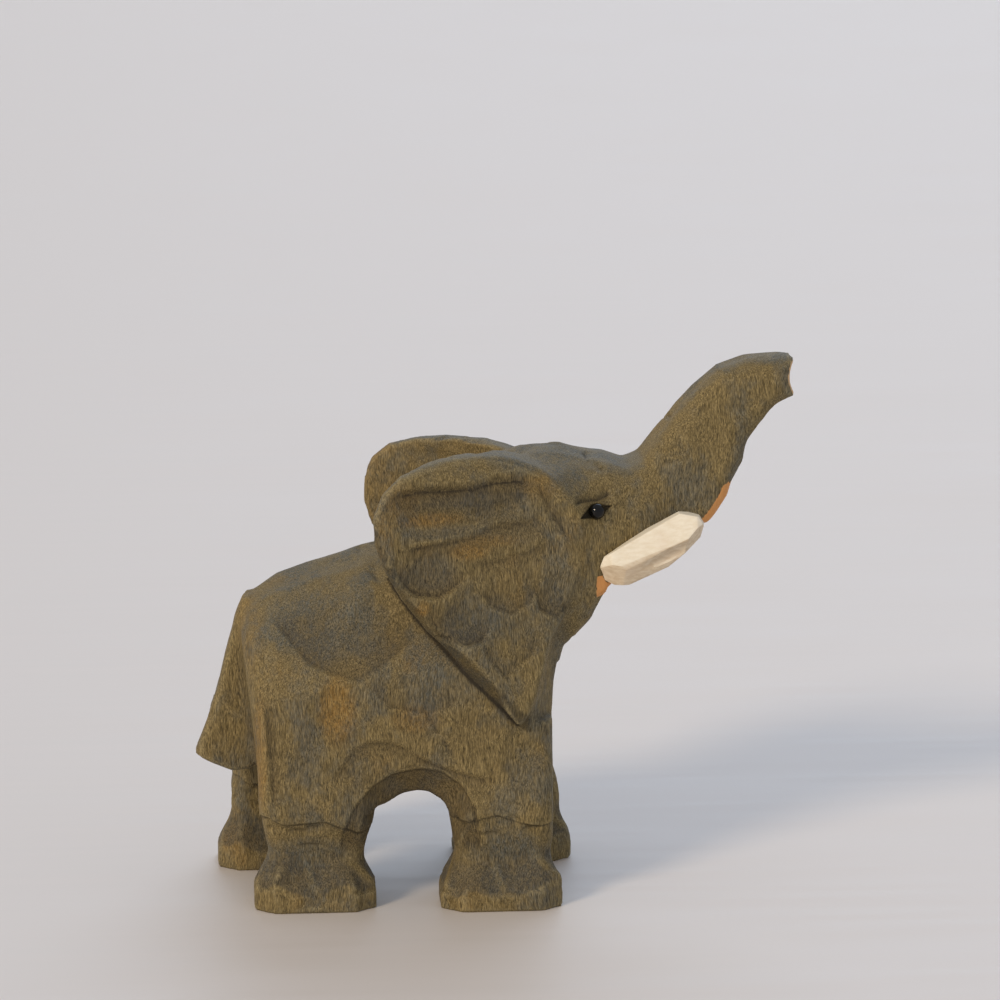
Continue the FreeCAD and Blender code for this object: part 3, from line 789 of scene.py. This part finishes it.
def link_mesh(mesh):
    """Put a finished mesh in the scene as a smooth-shaded piece of the same name."""
    mesh.shade_smooth()
    obj = bpy.data.objects.new(mesh.name, mesh)
    bpy.context.scene.collection.objects.link(obj)
    return obj


def mesh_object(name, vertices, faces, masks=None):
    mesh = bpy.data.meshes.new(name)
    mesh.from_pydata(vertices.tolist(), [], faces.tolist() if hasattr(faces, "tolist") else faces)
    for mask, values in (masks or {}).items():
        layer = mesh.attributes.new(mask, "FLOAT", "POINT")
        layer.data.foreach_set("value", np.asarray(values, np.float32))
    return link_mesh(mesh)


def positions(mesh):
    flat = np.empty(len(mesh.vertices) * 3, np.float32)
    mesh.vertices.foreach_get("co", flat)
    return flat.reshape(-1, 3).astype(float)


EYE_REACH, EYE_TILT = 3.9, math.radians(14)
BROW = [(11.2, 61.9), (12.8, 62.1), (15.2, 62.0), (16.6, 62.5), (17.6, 63.7)]
LOWER_LID = [(12.2, 58.6), (14.2, 58.7), (16.4, 59.0), (18.0, 59.9)]


def divide(obj, near):
    """Split each edge that has both its ends near; near holds one flag for each vertex."""
    work = bmesh.new()
    work.from_mesh(obj.data)
    edges = [e for e in work.edges if near[e.verts[0].index] and near[e.verts[1].index]]
    bmesh.ops.subdivide_edges(work, edges=edges, cuts=1, use_grid_fill=True)
    work.to_mesh(obj.data)
    work.free()


def line_profile(line, x, z, above, below):
    """How deep a cut along a line is at each place, up to 1 at the line itself, and the rim it leaves."""
    signed, along = line_distance(line, x, z)
    wall = np.clip(np.where(signed > 0, 1 - signed / above, 1 + signed / below), 0, 1)
    steep = -signed if above > below else signed
    rim = np.clip(1 - np.abs(steep - min(above, below) - 0.25) / 0.45, 0, 1)
    fade = ease(along, -0.02, 0.16) * (1 - ease(along, 0.84, 1.02))
    return wall * fade, rim * fade


def side_line(line, side):
    """The same cut on either side, wandering a little on the left."""
    return [(x, z + 0.4 * math.sin(2.1 * x)) for x, z in line] if side == "left" else line


def fine_zones(v):
    """Vertices close to a fold, a crease or a step, where the mesh has to be finer."""
    near = np.zeros(len(v), bool)
    for side, sign in SIDES.items():
        drop = EAR_DROP[side]
        x, y, z = v[:, 0], v[:, 1] * sign, v[:, 2]
        ear = on_ear(x, y, z + drop) > 0.2
        for line, _, _, _ in EAR_FOLDS:
            near |= ear & (np.abs(line_distance(side_line(line, side), x, z + drop)[0]) < 0.8)
        for line, _, _, _ in FLANK_LINES:
            near |= (y > 9) & ~ear & (np.abs(line_distance(side_line(line, side), x, z)[0]) < 0.7)
        arch = line_distance(ARCH_SIDE[1:-1], x, z)[0]
        near |= (y > 13) & (np.abs(arch - ARCH_BAND) < 0.5) & (z > 9) & (z < 24)
        near |= (y > 10) & (np.abs(line_distance(EAR_CREASE, x, z + drop)[0]) < 0.9)
        for end in ("hind", "front"):
            centre = FEET[side, end][0]
            step = knee_height(side, end, x, v[:, 1])
            near |= (np.abs(z - step + 0.2) < 0.8) & (np.abs(x - centre) < LEG_REACH) & (y > 3)
    return near


def fine_cuts(obj, eyes):
    """Divide the mesh where the sharp cuts go, then make them and cut the hollows round the eyes."""
    divide(obj, fine_zones(positions(obj.data) / MM))
    for reach in (EYE_REACH, EYE_REACH - 0.4):
        v = positions(obj.data)
        divide(obj, np.min([np.linalg.norm(v - np.array(e), axis=1) for e in eyes.values()], 0) < reach * MM)
    mesh = obj.data
    v = positions(mesh) / MM
    normals = np.empty(len(v) * 3, np.float32)
    mesh.vertex_normals.foreach_get("vector", normals)
    normals = normals.reshape(-1, 3)
    groove_shade, depth, shade, rim_highlight = np.zeros((4, len(v)))
    for side, sign in SIDES.items():
        drop = EAR_DROP[side]
        x, y, z = v[:, 0], v[:, 1] * sign, v[:, 2]
        out = normals[:, 1] * sign
        ear = on_ear(x, y, z + drop) * ease(out, 0.15, 0.5)
        flank = (1 - ear) * ease(y, 8, 11) * ease(out, 0.15, 0.5)
        for cuts, where, up in ((EAR_FOLDS, ear, z + drop), (FLANK_LINES, flank, z)):
            for line, deep, above, below in cuts:
                wall, rim = line_profile(side_line(line, side), x, up, above, below)
                wall, rim = where * wall, where * rim
                depth = depth + deep * wall
                # A dark painted shade line right along each cut's line.
                sharp = np.clip(1 - (1 - wall) * max(above, below) / 0.8, 0, 1)
                groove_shade = np.maximum(groove_shade, min(0.8 * deep + 0.25, 1) * sharp)
                # Painted shade spreading below each cut, kept in the same mask as the bowls' painted shade.
                shade = np.maximum(shade, min(1.5 * deep + 0.15, 0.85) * wall)
                # A painted highlight on the rim left beside each cut.
                rim_highlight = np.maximum(rim_highlight, min(deep + 0.45, 0.9) * rim)
        # A painted highlight along the ear's top rim.
        rim = np.abs(line_distance(EAR_RIM, x, z + drop)[0])
        rim_highlight = np.maximum(rim_highlight, 0.85 * (y > 10) * np.clip(1 - rim / 0.55, 0, 1) * ease(out, -0.4, 0.0))
        arch = line_distance(ARCH_SIDE[1:-1], x, z)[0]
        # The arch's carved band: painted shade inside it, a dark painted shade line along it and a painted
        # highlight just outside it.
        band = (y > 12) * ease(z, 8, 11) * ease(25 - z, 0, 2) * ease(x, -26, -24.5) * (x < -3)
        depth = depth + 0.26 * band * (1 - ease(arch, ARCH_BAND - 0.35, ARCH_BAND)) * ease(arch, 0.4, 2.4)
        shade = np.maximum(shade, 0.7 * band * (1 - ease(arch, ARCH_BAND - 0.3, ARCH_BAND + 0.1)))
        groove_shade = np.maximum(groove_shade, 0.6 * band * np.clip(1 - np.abs(arch - ARCH_BAND + 0.2) / 0.4, 0, 1))
        rim_highlight = np.maximum(rim_highlight, 0.75 * band * np.clip(1 - np.abs(arch - ARCH_BAND - 0.35) / 0.45, 0, 1))
        crease = line_distance(EAR_CREASE, x, z + drop)[0]
        # Painted shade on the ear's downward-facing bevel, and a dark painted shade line along the crease
        # where the ear meets the body.
        shaded = (y > 9) * ease(out, -0.35, 0.1)
        groove_shade = np.maximum(groove_shade, 0.58 * shaded * ease(crease, -1.0, -0.3) * (1 - ease(crease, 1.9, 2.5)))
        groove_shade = np.maximum(groove_shade, shaded * (1 - ease(np.abs(crease), 0.15, 0.5)))
        for end in ("hind", "front"):
            under = knee_height(side, end, x, v[:, 1]) - z
            leg = (np.abs(x - FEET[side, end][0]) < LEG_REACH) & (y > 3)
            # Painted shade along and just under the step over each ankle.
            groove_shade = np.maximum(groove_shade, 0.7 * leg * ease(under, -0.2, 0.1) * (1 - ease(under, 0.1, 0.5)))
            groove_shade = np.maximum(groove_shade, 0.25 * leg * ease(under, -0.1, 0.2) * (1 - ease(under, 1.0, 3.4)))
        eye = eyes[side] / MM
        near = (np.linalg.norm(v - np.array(eye), axis=1) < EYE_REACH).astype(float)
        dx, dz = x - eye.x, z - eye.z
        c, s = math.cos(EYE_TILT), math.sin(EYE_TILT)
        u, w = dx * c + dz * s, dz * c - dx * s
        lid = 1.40 * np.clip(1 - (np.abs(u + 0.2) / 2.6) ** 0.9, 0, 1) + 0.02
        hollow = np.clip(1 - (np.abs(w + 0.05) / lid) ** 3, 0, 1)
        brow = line_profile(BROW, x, z, 1.3, 0.5)[0]
        under = line_profile(LOWER_LID, x, z, 0.6, 0.6)[0]
        depth = depth + near * np.maximum(0.62 * hollow, np.maximum(0.38 * brow, 0.12 * under))
        socket = 0.5 * (1 - ease(np.hypot(u / 2.6, (w - 0.5) / 1.9), 0.6, 1.15))
        # Painted shade in the hollow round the bead, under the brow and over the socket.
        groove_shade = np.maximum(groove_shade, near * np.maximum(np.maximum(1.6 * hollow, 0.8 * brow), socket))
    v = (v - normals * depth[:, None]) * MM
    mesh.vertices.foreach_set("co", v.astype(np.float32).ravel())
    # The painted shade, the dark painted shade lines and the painted highlights are added to the masks from
    # paint_masks.
    for name, values in (("groove_shade", groove_shade), ("stain_and_shade", shade), ("wear_and_highlight", rim_highlight)):
        layer = mesh.attributes[name].data
        old = np.empty(len(v), np.float32)
        layer.foreach_get("value", old)
        layer.foreach_set("value", np.maximum(old, values).astype(np.float32))
    mesh.update()


# The tusk in its own frame in millimetres: x along it from the cheek, y out from the head, z up
# across it. Each cut is a plane's direction and its distance from the root.
TUSK_RISE = 24.0
TUSK_ROOT = (15.89, 10.15, 50.82)
TUSK_CUTS = [
    ((-0.086, 0.0, 0.996), 2.30), ((0.536, 0.0, 0.844), 10.7), ((0.98, 0.10, 0.10), 16.95),
    ((0.78, 0.1, -0.62), 13.05), ((0.30, 0.0, -0.954), 5.9), ((0.0, 0.0, -1.0), 3.2),
    ((-0.40, 0.0, -0.917), 1.75), ((-0.775, 0.0, -0.632), 0.75), ((-0.98, 0.05, 0.19), 0.25),
    ((0.0, 1.0, 0.0), 2.62), ((0.0, -1.0, 0.0), 2.6), ((0.02, 0.86, 0.51), 2.5),
    ((0.02, 0.88, -0.47), 2.62), ((-0.42, 0.88, -0.22), 0.98), ((0.0, -0.8, 0.6), 3.1),
    ((0.0, -0.8, -0.6), 3.2), ((0.55, 0.8, 0.25), 10.6),
    ((0.62, -0.75, 0.1), 11.6), ((0.45, 0.62, -0.64), 8.0), ((-0.30, 0.78, 0.55), 1.75),
]
TENON_RADIUS, TENON_LENGTH, TENON_LEAN, TENON_SIDES = 1.1, 4.6, 0.4, 24


def whittled_tusk(side):
    """A tusk cut out of a blank one flat at a time, with a round tenon behind."""
    sign = SIDES[side]
    work = bmesh.new()
    blank = Matrix.Translation((8.5, 0, 0)) @ Matrix.Diagonal((20, 6, 8, 1))
    bmesh.ops.create_cube(work, size=1, matrix=blank)
    for direction, distance in TUSK_CUTS:
        normal = Vector(direction).normalized()
        cut = bmesh.ops.bisect_plane(
            work, geom=work.verts[:] + work.edges[:] + work.faces[:], plane_co=normal * distance,
            plane_no=normal, clear_outer=True,
        )["geom_cut"]
        rim = [e for e in cut if isinstance(e, bmesh.types.BMEdge)]
        if rim:
            bmesh.ops.contextual_create(work, geom=rim)
    bmesh.ops.remove_doubles(work, verts=work.verts, dist=0.02)
    bmesh.ops.bevel(
        work, geom=[e for e in work.edges if e.calc_face_angle(0) > 0.12], offset=0.16, segments=2,
        profile=0.6, affect="EDGES",
    )
    bmesh.ops.triangulate(work, faces=work.faces)
    for length in (1.2, 1.2, 0.6, 0.6):
        long = [e for e in work.edges if e.calc_length() > length]
        bmesh.ops.subdivide_edges(work, edges=long, cuts=1)
        bmesh.ops.triangulate(work, faces=work.faces)
    carve_tusk(work)
    rings = []
    chamfer = 0.3
    for x, radius in (
        (0.6, TENON_RADIUS), (chamfer - TENON_LENGTH, TENON_RADIUS), (-TENON_LENGTH, TENON_RADIUS - chamfer),
    ):
        ring = [
            work.verts.new((x, TENON_LEAN * x + radius * math.cos(a), radius * math.sin(a)))
            for a in (2 * math.pi * i / TENON_SIDES for i in range(TENON_SIDES))
        ]
        rings.append(ring)
    for low, high in zip(rings, rings[1:]):
        for i in range(TENON_SIDES):
            work.faces.new((low[i - 1], low[i], high[i], high[i - 1]))
    work.faces.new(rings[0])
    work.faces.new(rings[-1])
    place = (
        Matrix.Translation((TUSK_ROOT[0], sign * TUSK_ROOT[1], TUSK_ROOT[2]))
        @ Matrix.Rotation(math.radians(-TUSK_RISE), 4, "Y") @ Matrix.Diagonal((1, sign, 1, 1))
    )
    bmesh.ops.transform(work, verts=work.verts, matrix=Matrix.Scale(MM, 4) @ place)
    bmesh.ops.recalc_face_normals(work, faces=work.faces)
    mesh = bpy.data.meshes.new(f"tusk_{side}_whittled")
    work.to_mesh(mesh)
    work.free()
    obj = link_mesh(mesh)
    mesh.set_sharp_from_angle(angle=math.radians(24))
    return obj


def carve_tusk(work):
    """A long shallow scoop along the tusk's lower outer flat and slight ripples along the rest."""
    for v in work.verts:
        x, y, z = v.co
        scoop = max(0.0, 1 - ((x - 10.2) / 4.4) ** 2 - ((z + 1.25 - 0.04 * (x - 10)) / 1.05) ** 2)
        ripple = 0.02 * math.sin(1.9 * x + 0.8 * z) * math.sin(0.9 * x - 1.7 * z)
        if y > 0:
            v.co.y -= 0.42 * scoop ** 0.7 + ripple
        else:
            v.co.y += ripple


def glass_eye(side):
    """A melted glass bead: a slightly flattened ball, drawn in where it meets the pin."""
    low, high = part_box(f"eye_bead_{side}")
    centre, radius = (low + high) / 2, (high.z - low.z) / 2
    sign = SIDES[side]
    work = bmesh.new()
    rows, columns = 28, 40
    rings = []
    for i in range(1, rows):
        a = math.pi * i / rows
        wide = radius * math.sin(a) * (1 - 0.05 * math.cos(a) ** 2)
        out = radius * math.cos(a) * (0.94 if math.cos(a) > 0 else 0.98)
        rings.append([
            work.verts.new((wide * math.cos(b), sign * out, wide * 0.985 * math.sin(b)))
            for b in (2 * math.pi * j / columns for j in range(columns))
        ])
    front = work.verts.new((0, sign * radius * 0.94, 0))
    back = work.verts.new((0, -sign * radius * 0.98, 0))
    for j in range(columns):
        work.faces.new((front, rings[0][j - 1], rings[0][j]))
        work.faces.new((back, rings[-1][j], rings[-1][j - 1]))
        for a, b in zip(rings, rings[1:]):
            work.faces.new((a[j - 1], b[j - 1], b[j], a[j]))
    bmesh.ops.translate(work, verts=work.verts, vec=centre)
    bmesh.ops.recalc_face_normals(work, faces=work.faces)
    mesh = bpy.data.meshes.new(f"eye_{side}_glass")
    work.to_mesh(mesh)
    work.free()
    return link_mesh(mesh)


def colour(red, green, blue):
    """A linear colour from screen values of 0 to 255."""
    def linear(c):
        c /= 255
        return c / 12.92 if c <= 0.04045 else ((c + 0.055) / 1.055) ** 2.4
    return (linear(red), linear(green), linear(blue), 1)


class Material:
    """A node material, built up one step at a time. Places are in millimetres."""

    def __init__(self, name, **settings):
        self.material = bpy.data.materials.new(name)
        self.material.use_nodes = True
        self.tree = self.material.node_tree
        self.shader = self.tree.nodes["Principled BSDF"]
        for key, value in settings.items():
            self.shader.inputs[key.replace("_", " ").title().replace("Ior", "IOR")].default_value = value
        self.place = self.scaled(self.add("ShaderNodeTexCoord").outputs["Object"], (1000, 1000, 1000))

    def add(self, kind, inputs=(), **settings):
        node = self.tree.nodes.new(kind)
        for key, value in settings.items():
            setattr(node, key, value)
        for key, value in dict(inputs).items():
            if isinstance(value, bpy.types.NodeSocket):
                self.tree.links.new(value, node.inputs[key])
            else:
                node.inputs[key].default_value = value
        return node

    def scaled(self, place, factors, offset=(0, 0, 0)):
        node = self.add("ShaderNodeVectorMath", {0: place, 1: factors, 2: offset}, operation="MULTIPLY_ADD")
        return node.outputs[0]

    def noise(self, place, scale, detail=2.0, rough=0.5):
        inputs = {"Vector": place, "Scale": scale, "Detail": detail, "Roughness": rough}
        return self.add("ShaderNodeTexNoise", inputs).outputs

    def step(self, value, low, high, to_low=0.0, to_high=1.0):
        inputs = {0: value, 1: low, 2: high, 3: to_low, 4: to_high}
        return self.add("ShaderNodeMapRange", inputs, interpolation_type="SMOOTHSTEP").outputs[0]

    def math(self, operation, a, b=0.0, c=0.0):
        return self.add("ShaderNodeMath", {0: a, 1: b, 2: c}, operation=operation).outputs[0]

    def mix(self, amount, a, b):
        return self.add("ShaderNodeMix", {0: amount, 6: a, 7: b}, data_type="RGBA").outputs[2]

    def mask(self, name):
        return self.add("ShaderNodeAttribute", attribute_name=name).outputs["Fac"]

    def finish(self, base, roughness, height, relief, strength=1.0):
        """Link the last results to the shader; relief is the bump's full height in millimetres."""
        inputs = {"Height": height, "Distance": relief / 1000, "Strength": strength}
        bump = self.add("ShaderNodeBump", inputs).outputs[0]
        for key, value in (("Base Color", base), ("Roughness", roughness), ("Normal", bump)):
            self.tree.links.new(value, self.shader.inputs[key])
        return self.material


def stained_wood():
    """Olive-brown and slate stain rubbed into close vertical grain, worn through on the ridges, with painted
    shade in hollows and grooves, painted highlights on rims and a painted cool tint on upward faces.
    """
    m = Material("stained_wood", specular_ior_level=0.22)
    wander = m.noise(m.place, 0.11, 2)["Color"]
    bent = m.scaled(wander, (2.2, 2.2, 0.0), m.place)
    fibre = m.noise(m.scaled(bent, (1, 1, 0.07)), 6.0, 4, 0.75)["Fac"]
    fine = m.noise(m.scaled(bent, (1, 1, 0.14)), 9.6, 3, 0.65)["Fac"]
    pores = m.noise(m.scaled(bent, (1, 1, 0.11), (7, 3, 1)), 9.0, 2, 0.5)["Fac"]
    mottle = m.noise(m.scaled(bent, (1, 1, 0.62)), 0.15, 5, 0.66)["Fac"]
    cloud = m.noise(m.scaled(bent, (1, 1, 0.7), (40, 11, 5)), 0.085, 4, 0.6)["Fac"]
    speckle = m.noise(m.scaled(bent, (1, 1, 0.4), (3, 9, 2)), 2.2, 3, 0.7)["Fac"]

    ochre = m.math("ADD", m.math("MULTIPLY", m.mask("ochre"), 0.75), m.step(cloud, 0.55, 0.75, 0, 0.4))
    ochre = m.math("MULTIPLY", ochre, m.step(speckle, 0.3, 0.65, 0.4, 1.0))
    # Slate stain mottle and patches, with the painted cool tint on upward faces and the painted shade
    # patches.
    slate_and_sky_tint = m.math("ADD", m.step(mottle, 0.44, 0.64, 0, 0.8), m.math("MULTIPLY", m.mask("slate_and_sky_tint"), 0.65))
    slate_and_sky_tint = m.math("MULTIPLY", m.math("MINIMUM", slate_and_sky_tint, 1.0), m.step(speckle, 0.68, 0.34, 0.45, 0.9))
    streak = m.step(fibre, 0.3, 0.72)
    tone = m.mix(streak, colour(96, 82, 49), colour(172, 152, 104))
    tone = m.mix(ochre, tone, m.mix(streak, colour(132, 98, 42), colour(188, 148, 78)))
    tone = m.mix(slate_and_sky_tint, tone, m.mix(streak, colour(72, 75, 70), colour(122, 124, 116)))
    # Painted shade: the bowls, the recesses under the folds and the foot cuts are mixed towards dark brown.
    stain_and_shade = m.math("MULTIPLY", m.mask("stain_and_shade"), m.step(speckle, 0.3, 0.7, 0.85, 0.5))
    tone = m.mix(stain_and_shade, tone, m.mix(streak, colour(50, 43, 32), colour(90, 75, 53)))
    # Painted shade in the hollows.
    deep = m.math("MULTIPLY", m.step(m.mask("hollow"), 0.15, 0.9), 0.45)
    tone = m.mix(deep, tone, colour(70, 62, 48))
    # Painted shade: grooves, creases and the eye's hollow are darkened almost to black.
    tone = m.mix(m.step(m.mask("groove_shade"), 0.12, 1.0, 0, 0.86), tone, colour(40, 35, 27))
    # Wear and painted highlights: worn ridges and lit rims are mixed towards pale tan.
    wear_and_highlight = m.math("MULTIPLY", m.step(m.mask("wear_and_highlight"), 0.3, 0.95), m.step(speckle, 0.35, 0.6, 0.1, 0.45))
    tone = m.mix(wear_and_highlight, tone, colour(176, 162, 122))
    dash = m.step(pores, 0.55, 0.68, 0, 0.64)
    tone = m.mix(dash, tone, colour(40, 37, 31))
    tone = m.mix(m.step(fine, 0.30, 0.60, 0.55, 0), tone, colour(38, 34, 26))
    ragged = m.math("ADD", m.mask("mouth"), m.math("MULTIPLY", m.math("SUBTRACT", fine, 0.5), 0.7))
    orange = m.mix(fibre, colour(206, 134, 70), colour(232, 176, 112))
    tone = m.mix(m.step(ragged, 0.42, 0.56), tone, orange)
    split = m.math("ADD", m.mask("bare"), m.math("MULTIPLY", m.math("SUBTRACT", speckle, 0.5), 1.6))
    tone = m.mix(m.step(split, 0.45, 0.7), tone, m.mix(fibre, colour(190, 146, 94), colour(230, 200, 156)))
    roughness = m.step(fibre, 0.25, 0.75, 0.78, 0.60)
    height = m.math("SUBTRACT", m.math("MULTIPLY_ADD", fine, 0.35, fibre), m.math("MULTIPLY", dash, 0.7))
    return m.finish(tone, roughness, height, relief=0.05)


def cream_paint():
    """Thick cream paint on whittled wood; the downward-facing flats get painted shade, darker and pinker."""
    m = Material("pale_wood", specular_ior_level=0.4)
    fibre = m.noise(m.scaled(m.place, (1, 1, 0.2)), 2.6, 4, 0.6)["Fac"]
    brush = m.noise(m.scaled(m.place, (0.35, 1.2, 1)), 1.7, 3, 0.55)["Fac"]
    cloud = m.noise(m.place, 0.3, 2)["Fac"]
    tone = m.mix(m.step(brush, 0.3, 0.7), colour(236, 226, 203), colour(246, 239, 220))
    normal = m.add("ShaderNodeNewGeometry").outputs["True Normal"]
    facing = m.add("ShaderNodeSeparateXYZ", {0: normal}).outputs["Z"]
    # Painted shade: flats facing downwards are mixed towards a darker, pinker cream.
    lower = m.step(facing, 0.42, -0.25, 0, 0.9)
    tone = m.mix(lower, tone, m.mix(m.step(brush, 0.3, 0.7), colour(207, 184, 151), colour(229, 211, 181)))
    tone = m.mix(m.step(cloud, 0.5, 0.75, 0, 0.25), tone, colour(222, 200, 176))
    tone = m.mix(m.step(fibre, 0.64, 0.80, 0, 0.2), tone, colour(200, 176, 146))
    roughness = m.step(brush, 0.3, 0.7, 0.56, 0.40)
    height = m.math("MULTIPLY_ADD", fibre, 0.6, brush)
    return m.finish(tone, roughness, height, relief=0.03)


def black_glass():
    m = Material("black_glass", roughness=0.04, specular_ior_level=0.34)
    wave = m.noise(m.place, 0.9, 2)["Fac"]
    tone = m.mix(wave, colour(3, 3, 4), colour(9, 9, 9))
    return m.finish(tone, m.step(wave, 0.35, 0.65, 0.03, 0.09), wave, relief=0.01, strength=0.4)


def pin_steel():
    m = Material("pin_steel", metallic=1.0)
    drawn = m.noise(m.scaled(m.place, (8, 0.4, 8)), 1.2, 3)["Fac"]
    tone = m.mix(drawn, colour(120, 118, 115), colour(176, 174, 170))
    return m.finish(tone, m.step(drawn, 0.3, 0.7, 0.25, 0.5), drawn, relief=0.01)


def pale_floor():
    m = Material("pale_floor", specular_ior_level=0.3)
    grain = m.noise(m.scaled(m.place, (0.02, 0.4, 0.4)), 0.6, 4, 0.6)["Fac"]
    tone = m.mix(grain, colour(210, 204, 197), colour(218, 212, 207))
    return m.finish(tone, m.step(grain, 0.3, 0.7, 0.5, 0.6), grain, relief=0.02)


def give(obj, material):
    obj.data.materials.clear()
    obj.data.materials.append(material)


def soft_light(name, direction, strength, spread, tint):
    """A wide, even light from one direction, with its spread in degrees."""
    light = bpy.data.lights.new(name, "SUN")
    light.energy, light.angle, light.color = strength, math.radians(spread), tint
    obj = bpy.data.objects.new(name, light)
    obj.rotation_euler = (-Vector(direction)).to_track_quat("-Z", "Y").to_euler()
    bpy.context.scene.collection.objects.link(obj)


def cut_seats(obj, let_in):
    """Take the space that the let-in pieces fill out of a piece, so that each sits in its own seat."""
    group = bpy.data.collections.new("let_in")
    for piece in let_in:
        group.objects.link(piece)
    seats = obj.modifiers.new("seats", "BOOLEAN")
    seats.operation, seats.solver = "DIFFERENCE", "EXACT"
    seats.operand_type, seats.collection = "COLLECTION", group
    seats.use_self = True
    graph = bpy.context.evaluated_depsgraph_get()
    whole = obj.data
    cut = bpy.data.meshes.new_from_object(
        obj.evaluated_get(graph), preserve_all_data_layers=True, depsgraph=graph,
    )
    obj.modifiers.clear()
    name = whole.name
    obj.data = cut
    bpy.data.meshes.remove(whole)
    cut.name = name
    bpy.data.collections.remove(group)


def build_figure():
    block = Block()
    block.build()
    surface = Surface(block)
    surface.relax(RELAX_ROUNDS)
    carving = Carving(surface, np.random.default_rng(STROKE_SEED))
    carving.features()
    carving.strokes()
    body = mesh_object("carved_block", surface.v * MM, surface.quads, paint_masks(surface, carving))
    eyes = {}
    for side in SIDES:
        low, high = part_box(f"eye_bead_{side}")
        eyes[side] = (low + high) / 2
    fine_cuts(body, eyes)
    tusks = {side: whittled_tusk(side) for side in SIDES}
    beads = {side: glass_eye(side) for side in SIDES}
    pins = {side: bpy.data.objects[f"eye_pin_{side}"] for side in SIDES}
    for side in SIDES:
        cut_seats(beads[side], [pins[side]])
    cut_seats(body, [*tusks.values(), *beads.values(), *pins.values()])
    give(body, stained_wood())
    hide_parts("carved_body")
    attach(body, "root")
    paint, glass, steel = cream_paint(), black_glass(), pin_steel()
    for side in SIDES:
        give(tusks[side], paint)
        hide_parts(f"tusk_{side}")
        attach(tusks[side], "root")
        give(beads[side], glass)
        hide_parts(f"eye_bead_{side}")
        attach(beads[side], "root")
        pins[side].data.materials.clear()
        pins[side].data.materials.append(steel)


# The floor's half side is in metres, and the camera's place and aim are in millimetres.
FLOOR_HALF_SIDE = 40.0
CAMERA_PLACE, CAMERA_AIM, FOCAL_LENGTH = (-40.6, -580.8, 187.15), (1.1, 0, 60.1), 140


def build_studio():
    corners = FLOOR_HALF_SIDE * np.array([(-1.0, -1, 0), (1, -1, 0), (1, 1, 0), (-1, 1, 0)])
    floor = mesh_object("studio_floor", corners, [(0, 1, 2, 3)])
    floor.data.materials.append(pale_floor())
    scene = bpy.context.scene
    scene.view_settings.view_transform = "Standard"
    world = bpy.data.worlds.new("studio")
    world.use_nodes = True
    sky = world.node_tree.nodes["Background"]
    sky.inputs["Color"].default_value = (0.80, 0.81, 0.87, 1)
    sky.inputs["Strength"].default_value = 0.60
    scene.world = world
    soft_light("warm_key", (-0.8, -0.75, 0.62), 1.55, 14, (1.0, 0.82, 0.61))
    soft_light("cool_window", (0.3, 1.0, 0.75), 1.15, 50, (0.66, 0.80, 1.0))
    camera = bpy.data.objects.new("camera", bpy.data.cameras.new("camera"))
    camera.data.sensor_width, camera.data.lens = 36, FOCAL_LENGTH
    camera.data.clip_start = 0.01
    camera.location = Vector(CAMERA_PLACE) * MM
    aim = Vector(CAMERA_AIM) * MM
    camera.rotation_euler = (aim - camera.location).to_track_quat("-Z", "Y").to_euler()
    scene.collection.objects.link(camera)
    scene.camera = camera


build_figure()
build_studio()
